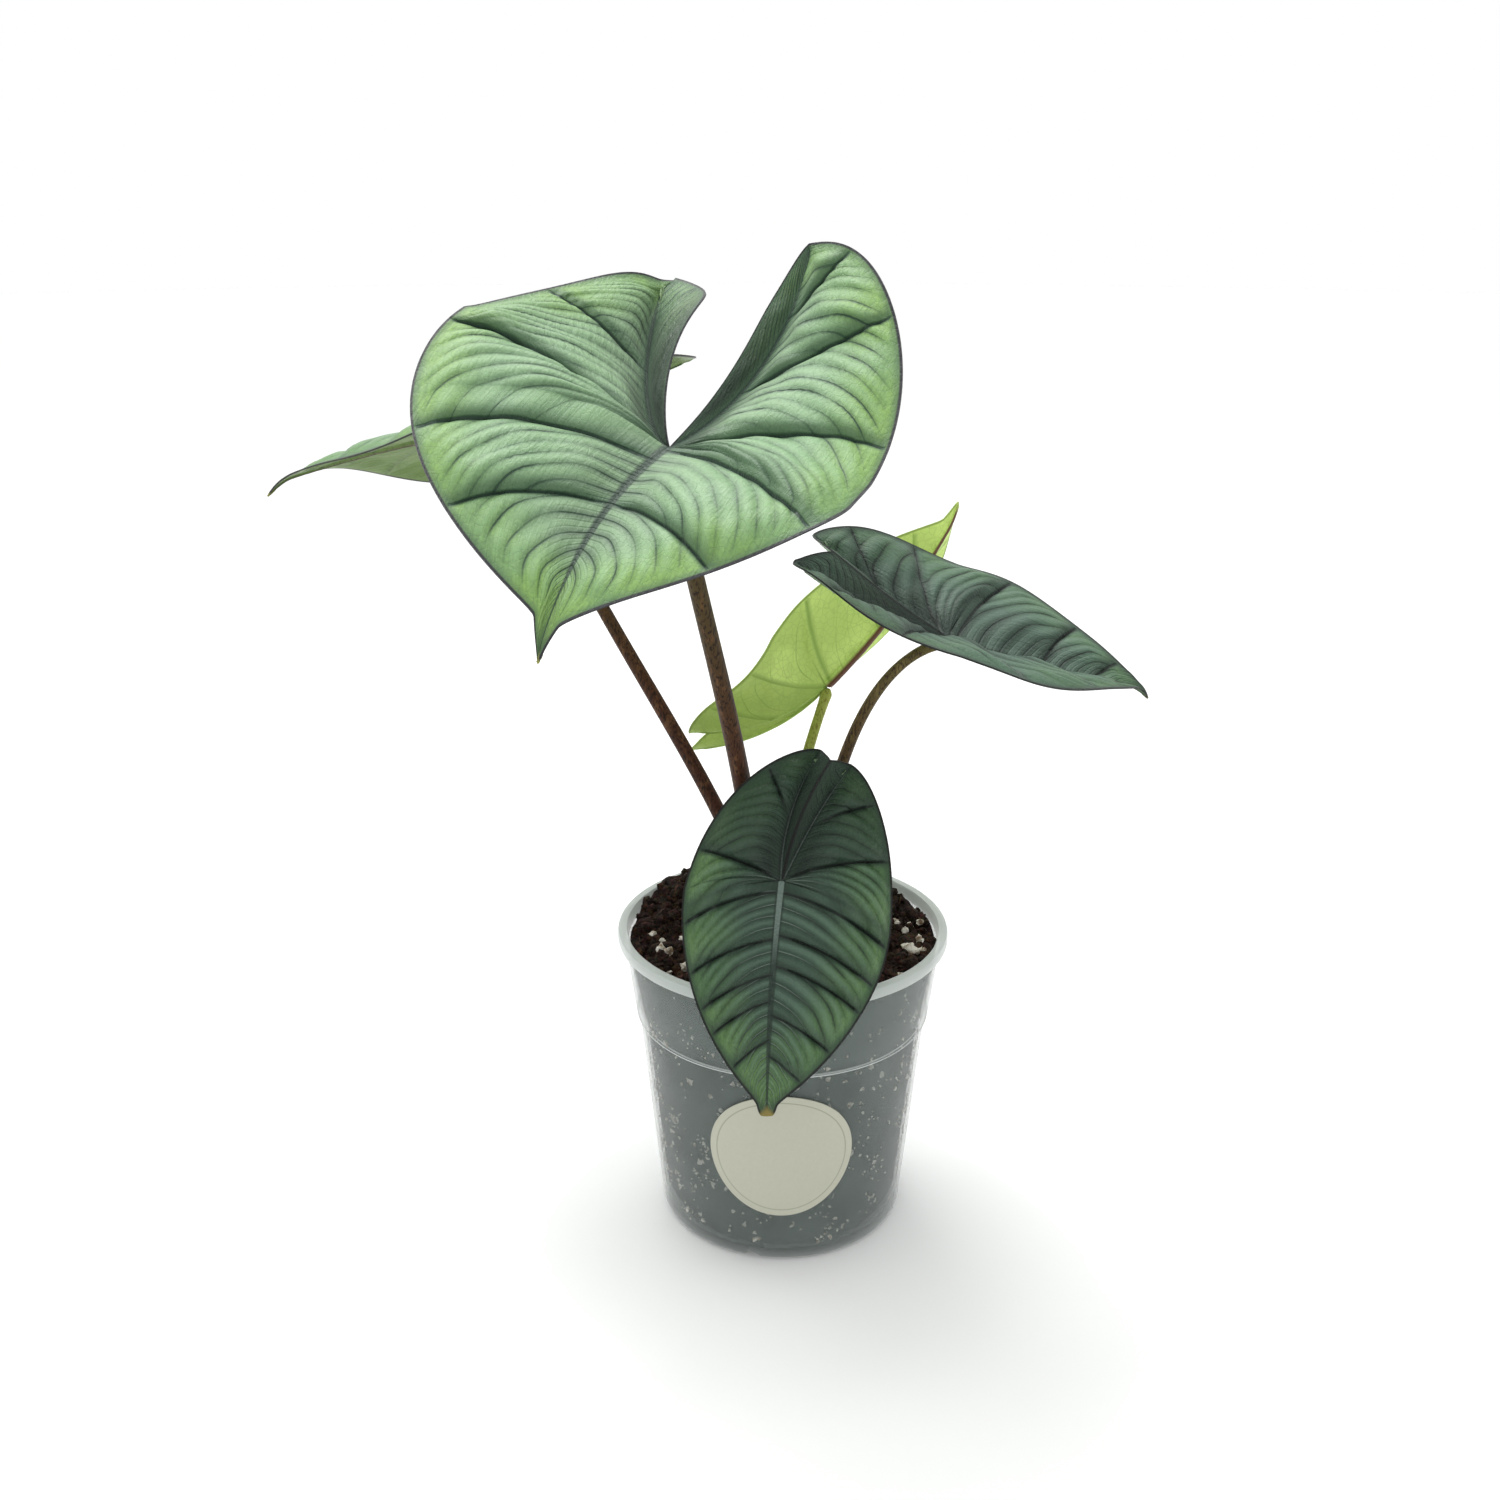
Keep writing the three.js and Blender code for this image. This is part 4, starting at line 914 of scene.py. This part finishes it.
def makePot():
    p = potSettings
    profile = potProfile()
    bpy.ops.mesh.primitive_circle_add(vertices=p["sides"], radius=profile[0][0] * mm, fill_type="NOTHING",
                                      location=(0, 0, 0))
    pot = bpy.context.object
    bpy.ops.object.mode_set(mode="EDIT")
    bpy.ops.mesh.select_all(action="SELECT")
    for (radius, height), (nextRadius, nextHeight) in zip(profile, profile[1:]):
        bpy.ops.mesh.extrude_region_move(TRANSFORM_OT_translate={"value": (0, 0, (nextHeight - height) * mm)})
        scale = nextRadius / radius
        bpy.ops.transform.resize(value=(scale, scale, 1), center_override=(0, 0, 0))
    bpy.ops.object.mode_set(mode="OBJECT")
    weld(pot, 0.04 * mm, True)
    cutters = []
    for i in range(p["drains"]):
        cutters.append(addCutter(p["drainRadius"], p["drainCircle"], 2 * math.pi * i / p["drains"]))
    for i in range(p["notches"]):
        turn = math.radians(p["notchTurn"] + 360 * i / p["notches"] - 90)
        cutters.append(addCutter(p["notchRadius"], p["foot"], turn, (math.pi / 2, 0, turn + math.pi / 2)))
    cutter = joinAll(cutters, "cutter")
    cut = pot.modifiers.new("holes", "BOOLEAN")
    cut.operation, cut.object, cut.solver = "DIFFERENCE", cutter, "EXACT"
    applyModifiers(pot)
    bpy.data.objects.remove(cutter)
    finishPiece(pot, "pot_wall", 35, "pot", makePotMaterial())


# Frosted polypropylene: milky and see-through, with a fine moulded grain and faint scuffs.
potLook = {
    "wall": "#7e8a86", "rim": "#c2cac6", "step": "#e4eae8", "alpha": 0.32, "upperHaze": 0.07, "rimAlpha": 0.8,
    "stepAlpha": 0.75, "roughness": 0.38,
}


def makePotMaterial():
    look = potLook
    top, ledge = potSettings["height"] - potSettings["rimHeight"], potSettings["stepHeight"]
    material, tree, where = newMaterial("frosted polypropylene")
    height = addNode(tree, "SeparateXYZ", {0: where})[2]
    away = addNode(tree, "Math", {0: height, 1: (ledge + 0.2) * mm}, operation="SUBTRACT")[0]
    away = addNode(tree, "Math", {0: away}, operation="ABSOLUTE")[0]
    haze = addNode(tree, "TexNoise", {"Vector": where, "Scale": 60, "Detail": 4})[0]
    grain = addNode(tree, "TexNoise", {"Vector": where, "Scale": 500, "Detail": 2})[0]
    rough, clear = look["roughness"], look["alpha"]
    m = addMasks(tree, height, {"rim": ((top - 0.6) * mm, (top + 0.4) * mm),
                                "upper": (ledge * mm, (ledge + 5) * mm)})
    m.update(addMasks(tree, away, {"step": (0.15 * mm, 0.75 * mm, 1, 0)}))
    m.update(addMasks(tree, grain, {"gloss": (0, 1, rough - 0.08, rough + 0.08)}, "LINEAR"))
    m.update(addMasks(tree, haze, {"clear": (0.3, 0.7, clear - 0.05, clear + 0.05)}, "LINEAR"))
    alpha = total(tree, [m["clear"], product(tree, [m["upper"], look["upperHaze"]])])
    for key in ("rim", "step"):
        alpha = addNode(tree, "Mix", {0: m[key], 2: alpha, 3: look[key + "Alpha"]}, data_type="FLOAT")[0]
    finishMaterial(tree, {
        "Base Color": layColours(tree, look["wall"], [(m["rim"], look["rim"]), (m["step"], look["step"])]),
        "Roughness": m["gloss"], "Alpha": alpha, "IOR": 1.49, "Sheen Weight": 1.0, "Sheen Roughness": 0.42})
    return material


makePot()


# Label: a matt paper sticker, plain with one thin ring inside its edge.
labelSettings = {"diameter": 51.5, "middle": 47, "stand": 0.3, "thickness": 0.3, "rings": 24, "sides": 128}
labelLook = {"paper": "#bcbcab", "ring": "#9b9c89", "edge": "#c6c6b6", "ringAt": 0.9}


def makeLabel():
    s = labelSettings
    bpy.ops.mesh.primitive_grid_add(x_subdivisions=s["sides"], y_subdivisions=s["rings"], size=1)
    label = bpy.context.object
    count = s["sides"] + 1
    order = np.arange(len(label.data.vertices))
    turn = 2 * np.pi * (order % count % s["sides"]) / s["sides"]
    reach = (order // count) / s["rings"]
    across = reach * np.cos(turn) * s["diameter"] / 2
    height = s["middle"] + reach * np.sin(turn) * s["diameter"] / 2
    radius = np.array([wallRadius(h) for h in height]) + s["stand"]
    angle = across / wallRadius(s["middle"])
    setPoints(label, np.stack([radius * np.sin(angle), -radius * np.cos(angle), height], axis=1) * mm)
    addValues(label, "reach", reach)
    weld(label, 1e-6)
    if sum(face.normal.y for face in label.data.polygons) > 0:
        label.data.flip_normals()
    wall = label.modifiers.new("paper", "SOLIDIFY")
    wall.thickness = s["thickness"] * mm
    wall.offset = 1
    applyModifiers(label)
    finishPiece(label, "label_sticker", 40, "label", makeLabelMaterial())


# Matt coated paper: short fibres in faint relief and a slightly uneven tone.
def makeLabelMaterial():
    look = labelLook
    material, tree, where = newMaterial("matt label paper")
    reach = addNode(tree, "Attribute", attribute_name="reach")["Fac"]
    away = addNode(tree, "Math", {0: reach, 1: look["ringAt"]}, operation="SUBTRACT")[0]
    away = addNode(tree, "Math", {0: away}, operation="ABSOLUTE")[0]
    ring = addMasks(tree, away, {"ring": (0.006, 0.012, 0.8, 0)})["ring"]
    fibres = addNode(tree, "TexNoise", {"Vector": where, "Scale": 700, "Detail": 4, "Roughness": 0.7})[0]
    body = layColours(tree, look["paper"], [(fibres, look["edge"]), (ring, look["ring"])])
    bump = addNode(tree, "Bump", {"Strength": 0.2, "Distance": 0.0001, "Height": fibres})[0]
    finishMaterial(tree, {"Base Color": body, "Roughness": 0.75, "Normal": bump, "IOR": 1.45})
    return material


makeLabel()


# Potting mix: dark peat and bark with coir fibres and white perlite, heaped towards the back left.
soilSettings = {
    "edge": 107.5, "heap": 4, "tilt": 4.5, "lump": 1.6, "rough": 1.1, "dent": 0.002,
    "mound": (-40, 38), "moundRadius": 18, "moundHeight": 6,
    "sides": 180, "rings": 60, "clear": (1.3, 0.5), "clearHeights": (84, 103),
    "crumbs": 1500, "crumbSize": (0.7, 2.6), "fibres": 320, "fibreLength": (4, 13),
    "perlite": 70, "perliteSize": (0.7, 2.2), "flecks": 1700, "fleckSize": (0.2, 0.8), "fleckClear": 0.42,
    "crownClear": 13,
}


def soilHeight(x, y):
    s = soilSettings
    out = math.hypot(x, y) / (potSettings["rim"] - 5)
    heap = s["heap"] * (1 - out * out) + s["tilt"] * max(0, y / potSettings["rim"]) * out * out
    away = math.hypot(x - s["mound"][0], y - s["mound"][1]) / s["moundRadius"]
    heap += s["moundHeight"] * math.exp(-away * away / 2)
    lumps = math.sin(x * 0.31 + 1.3) * math.cos(y * 0.27 - 0.4) + 0.7 * math.sin(x * 0.13 - y * 0.23 + 2)
    return s["edge"] + heap + s["lump"] * lumps * min(1, out * 3)


# How far the mix reaches at a height. It stands clear of the wall, and less so towards the top.
def innerRadius(height):
    low, high = soilSettings["clear"]
    clear = high + (low - high) * (1 - easeStep(height, *soilSettings["clearHeights"]))
    return wallRadius(height) - potSettings["wall"] - float(clear)


def makeSoil():
    s = soilSettings
    floor = potSettings["channelDepth"] + potSettings["wall"] + 0.5
    stops = [(ring / s["rings"] * innerRadius(s["edge"]), None) for ring in range(s["rings"] + 1)]
    stops += [(innerRadius(h), h) for h in (105, 101, 96, 90, 85, 82, 79, *range(76, 9, -3))]
    stops += [(potSettings["foot"] - 5, floor), (20, floor), (0, floor)]
    bpy.ops.mesh.primitive_grid_add(x_subdivisions=s["sides"], y_subdivisions=len(stops) - 1, size=1)
    soil = bpy.context.object
    count = s["sides"] + 1
    points = []
    for radius, height in stops:
        for column in range(count):
            turn = 2 * math.pi * (column % s["sides"]) / s["sides"]
            x, y = radius * math.cos(turn), radius * math.sin(turn)
            z = soilHeight(x, y) if height is None else height
            if height is None:
                z += s["rough"] * noise.fractal(Vector((x, y, 3.0)) * 0.33, 0.9, 2.1, 4) * min(1, radius / 3)
            elif height > 10:
                dent = 1 - s["dent"] * abs(noise.fractal(Vector((x, y, height)) * 0.25, 0.9, 2.1, 3))
                x, y = x * dent, y * dent
            points.append((x * mm, y * mm, z * mm))
    setPoints(soil, points)
    addValues(soil, "pressed", [float(height is not None) for _, height in stops for _ in range(count)])
    weld(soil, 1e-6, True)
    material = makeSoilMaterial("peat and bark mix", "#2b1d17", "#120c0a", "#4a3326", "#1f1b19")
    finishPiece(soil, "potting_mix", 80, "soil", material)


# Peat and bark: near-black crumbs with browner fibre, dull and very rough. Against the wall the mix
# is pressed smooth and damp, with soft cloudy patches.
def makeSoilMaterial(name, main, dark, light, damp=None):
    material, tree, where = newMaterial(name)
    grains = addNode(tree, "TexVoronoi", {"Vector": where, "Scale": 700})
    dust = addNode(tree, "TexNoise", {"Vector": where, "Scale": 380, "Detail": 5, "Roughness": 0.7})[0]
    ramp = addNode(tree, "ValToRGB", {0: dust}, [(0.3, dark), (0.7, light), (0.5, main)])[0]
    body = addNode(tree, "Mix", {0: 0.5, 6: ramp, 7: grains["Color"]},
                   data_type="RGBA", blend_type="MULTIPLY")[2]
    height = addNode(tree, "Math", {0: dust, 1: grains["Distance"]}, operation="SUBTRACT")[0]
    if damp:
        pressed = addNode(tree, "Attribute", attribute_name="pressed")["Fac"]
        patches = addNode(tree, "TexNoise", {"Vector": where, "Scale": 90, "Detail": 4})[0]
        body = layColours(tree, body, [(pressed, layColours(tree, dark, [(patches, damp)]))])
        loose = addNode(tree, "Math", {0: 1, 1: pressed}, operation="SUBTRACT")[0]
        height = product(tree, [height, loose])
    bump = addNode(tree, "Bump", {"Strength": 0.8, "Distance": 0.0012, "Height": height})[0]
    finishMaterial(tree, {"Base Color": body, "Roughness": 0.9, "Normal": bump, "Specular IOR Level": 0.25})
    return material


# Copies of one lump, each with its own mesh, joined into one piece.
def scatter(name, source, spots):
    copies = []
    for matrix in spots:
        item = source.copy()
        item.data = source.data.copy()
        item.data.transform(matrix)
        bpy.context.collection.objects.link(item)
        copies.append(item)
    bpy.data.objects.remove(source)
    joined = joinAll(copies, name)
    joined.matrix_world = Matrix.Identity(4)
    return joined


def makeLump(level, rough, seed):
    bpy.ops.mesh.primitive_ico_sphere_add(subdivisions=level, radius=1)
    lump = bpy.context.object
    points = getPoints(lump)
    for i, point in enumerate(points):
        points[i] = point * (1 + rough * noise.noise(Vector(point) * 1.4 + Vector((seed, 0, 0))))
    setPoints(lump, points)
    return lump


# A chance place on the mix, outside the crown
def surfaceSpot(draw, reach):
    while True:
        radius, turn = reach * math.sqrt(draw.random()), draw.uniform(0, 2 * math.pi)
        if radius > soilSettings["crownClear"]:
            return radius * math.cos(turn), radius * math.sin(turn)


def anyTurn(draw):
    return Euler([draw.uniform(0, 6.3) for _ in range(3)]).to_matrix().to_4x4()


def placed(x, y, z):
    return Matrix.Scale(mm, 4) @ Matrix.Translation((x, y, z))


def makeCrumbs():
    s = soilSettings
    draw = random.Random(5)
    reach = innerRadius(s["edge"]) - 1.5
    groups = []
    for kind in range(4):  # the first kind is larger and rounder, and there are fewer of it
        lump = makeLump(1 if kind else 2, 0.5, kind * 7.3)
        spots = []
        for _ in range(s["crumbs"] // (4 if kind else 12)):
            x, y = surfaceSpot(draw, reach)
            size = draw.uniform(*s["crumbSize"]) * (1 if kind else 1.4)
            turn = anyTurn(draw)
            stretch = Matrix.Diagonal((size * draw.uniform(0.8, 1.6), size, size * draw.uniform(0.5, 0.9), 1))
            z = min(soilHeight(x, y) + size * draw.uniform(-0.3, 0.5), potSettings["height"] + 4)
            spots.append(placed(x, y, z) @ turn @ stretch)
        groups.append(scatter("crumbs%d" % kind, lump, spots))
    crumbs = joinAll(groups, "bark_crumbs")
    material = makeSoilMaterial("composted bark", "#33221a", "#150e0b", "#5b3f2d")
    finishPiece(crumbs, "bark_crumbs", 50, None, material)


def makeFibres():
    s = soilSettings
    draw = random.Random(8)
    reach = innerRadius(s["edge"]) - 3
    strands = []
    for _ in range(s["fibres"]):
        x, y = surfaceSpot(draw, reach)
        length, turn = draw.uniform(*s["fibreLength"]), draw.uniform(0, 2 * math.pi)
        lift, curl = draw.uniform(-0.2, 0.9), draw.uniform(-2.4, 2.4)
        thick = draw.uniform(0.09, 0.24)
        bpy.ops.mesh.primitive_cylinder_add(vertices=3, radius=thick, depth=1, end_fill_type="TRIFAN")
        strand = bpy.context.object
        bpy.ops.object.mode_set(mode="EDIT")
        bpy.ops.mesh.select_all(action="SELECT")
        bpy.ops.mesh.subdivide(number_cuts=3)
        bpy.ops.object.mode_set(mode="OBJECT")
        points = getPoints(strand)
        along = points[:, 2] + 0.5
        angle = turn + curl * (along - 0.5)
        px = x + length * (along - 0.5) * np.cos(angle) + points[:, 0] * math.sin(turn)
        py = y + length * (along - 0.5) * np.sin(angle) - points[:, 0] * math.cos(turn)
        squeeze = np.minimum(1, reach / np.maximum(np.hypot(px, py), 1e-6))
        px, py = px * squeeze, py * squeeze
        ground = np.array([soilHeight(a, b) for a, b in zip(px, py)])
        pz = ground + 0.6 + lift * 4 * along * (1 - along) * 2 + points[:, 1]
        setPoints(strand, np.stack([px, py, pz], axis=1) * mm)
        strand.matrix_world = Matrix.Identity(4)
        strands.append(strand)
    material = makeSoilMaterial("coir fibre", "#4a3022", "#20140e", "#7b5a3e")
    finishPiece(joinAll(strands, "coir_fibres"), "coir_fibres", 60, None, material)


# Expanded perlite: white foamed glass, chalky, with pores and a brown stain where peat clings.
def makePerliteMaterial():
    material, tree, where = newMaterial("expanded perlite")
    stain = addNode(tree, "TexNoise", {"Vector": where, "Scale": 420, "Detail": 3})[0]
    ramp = addNode(tree, "ValToRGB", {0: stain}, [(0.35, "#8a7460"), (0.55, "#e9e4da"), (0.46, "#cfc6b8")])[0]
    pores = addNode(tree, "TexVoronoi", {"Vector": where, "Scale": 1900})["Distance"]
    bump = addNode(tree, "Bump", {"Strength": 0.5, "Distance": 0.0004, "Height": pores})[0]
    finishMaterial(tree, {"Base Color": ramp, "Roughness": 0.85, "Normal": bump, "Specular IOR Level": 0.3})
    return material


# Places and sizes of the largest grains, as seen from the front
perliteSpots = [(-32, 4, 2.2), (-35, -3, 1.8), (-43, -20, 2.0), (-31, -21, 1.9), (-34, -28, 1.7),
                (45, -12, 3.1), (47, 5, 1.5), (42, 3, 1.3), (31, -33, 1.5)]


def makePerlite():
    s = soilSettings
    draw = random.Random(21)
    reach = innerRadius(s["edge"]) - 3
    material = makePerliteMaterial()
    places = list(perliteSpots)
    for _ in range(s["perlite"]):
        places.append((*surfaceSpot(draw, reach), draw.uniform(*s["perliteSize"])))
    spots = []
    for x, y, size in places:
        turn = anyTurn(draw)
        shape = Matrix.Diagonal((size * draw.uniform(0.9, 1.3), size, size * draw.uniform(0.7, 1), 1))
        spots.append(placed(x, y, soilHeight(x, y) + 0.75 * size) @ turn @ shape)
    grains = scatter("perlite_grains", makeLump(2, 0.7, 2.5), spots)
    finishPiece(grains, "perlite_grains", 60, None, material)

    # Flecks that lie against the wall, loose and in small clusters
    spots = []
    while len(spots) < s["flecks"]:
        turn, height = draw.uniform(0, 2 * math.pi), draw.uniform(7, 105)
        for _ in range(draw.choice([1, 1, 1, 2, 3, 5, 7])):
            t, h = turn + draw.gauss(0, 0.045), min(105.5, max(6, height + draw.gauss(0, 2.2)))
            size = draw.uniform(*s["fleckSize"]) * draw.choice([0.7, 1, 1, 1.5])
            out = wallRadius(h) - potSettings["wall"] - s["fleckClear"]
            shape = Matrix.Diagonal((0.3, size * draw.uniform(0.8, 1.5), size * draw.uniform(0.8, 1.7), 1))
            roll = Matrix.Rotation(draw.uniform(0, 6.3), 4, "X")
            spots.append(Matrix.Rotation(t, 4, "Z") @ placed(out, 0, h) @ roll @ shape)
    flecks = scatter("perlite_flecks", makeLump(1, 0.8, 9.1), spots)
    finishPiece(flecks, "perlite_flecks", 60, None, material)


# Crown: a short corm ringed with the scars of old leaves.
crownSettings = {
    "radius": 13.4, "bottom": 84, "top": 114.6, "scarHeight": 0.25, "scarTurns": 2.2, "lump": 0.9,
    "sides": 64, "rings": 40,
}


def makeCrown():
    s = crownSettings
    bpy.ops.mesh.primitive_uv_sphere_add(segments=s["sides"], ring_count=s["rings"], radius=1)
    crown = bpy.context.object
    points = getPoints(crown)
    middle, halfHeight = (s["top"] + s["bottom"]) / 2, (s["top"] - s["bottom"]) / 2
    for i, (x, y, z) in enumerate(points):
        level = math.copysign(abs(z) ** 0.6, z)
        wide = (1 - abs(z) ** 3) ** 0.4
        scar = s["scarHeight"] * math.sin(level * halfHeight * s["scarTurns"])
        lump = s["lump"] * noise.noise(Vector((x, y, level * 2)) * 2)
        stretch = (s["radius"] + scar + lump) * wide / (math.hypot(x, y) or 1)
        points[i] = (x * stretch, y * stretch, middle + halfHeight * level)
    setPoints(crown, points * mm)
    material = makeSoilMaterial("corm skin", "#6b5036", "#3a2a1d", "#93785a")
    finishPiece(crown, "crown_corm", 70, "crown", material)


makeSoil()
makeCrumbs()
makeFibres()
makePerlite()
makeCrown()


# Stage: a wide pale floor under a white sky that is brightest overhead, and a soft lamp above

stageSettings = {
    "floorRadius": 6, "floorBelow": 0.0002, "floor": "#f4f5f4", "sky": "#ffffff",
    "lampPlace": (-0.35, 0.5, 1.25), "lampAim": (-0.02, 0, 0.2), "lampSize": 0.9, "lampPower": 10,
}


def makeFloor():
    s = stageSettings
    bpy.ops.mesh.primitive_circle_add(vertices=128, radius=s["floorRadius"], fill_type="NGON",
                                      location=(0, 0, -s["floorBelow"]))
    floor = bpy.context.object
    floor.name = "floor"
    material, tree, _ = newMaterial("matt white floor")
    finishMaterial(tree, {"Base Color": s["floor"], "Roughness": 0.9})
    floor.data.materials.append(material)


def makeLight():
    s = stageSettings
    world = bpy.data.worlds.new("white sky")
    bpy.context.scene.world = world
    world.use_nodes = True
    tree = world.node_tree
    tree.nodes.clear()
    height = addNode(tree, "SeparateXYZ", {0: addNode(tree, "TexCoord")["Generated"]})[2]
    sky = addMasks(tree, height, {"dim": (0.1, 0.25, 1, 0.5), "overhead": (0.5, 0.9, 0, 1.2)})
    strength = total(tree, [sky["dim"], sky["overhead"]])
    background = addNode(tree, "Background", {"Color": s["sky"], "Strength": strength})[0]
    addNode(tree, "OutputWorld", {"Surface": background})
    bpy.ops.object.light_add(type="AREA", location=s["lampPlace"])
    light = bpy.context.object
    light.name = "soft lamp"
    light.data.size, light.data.energy = s["lampSize"], s["lampPower"]
    light.rotation_euler = (Vector(s["lampAim"]) - Vector(s["lampPlace"])).to_track_quat("-Z", "Y").to_euler()


makeFloor()
makeLight()
bpy.context.scene.view_settings.view_transform = "Standard"
print("stage and light set")
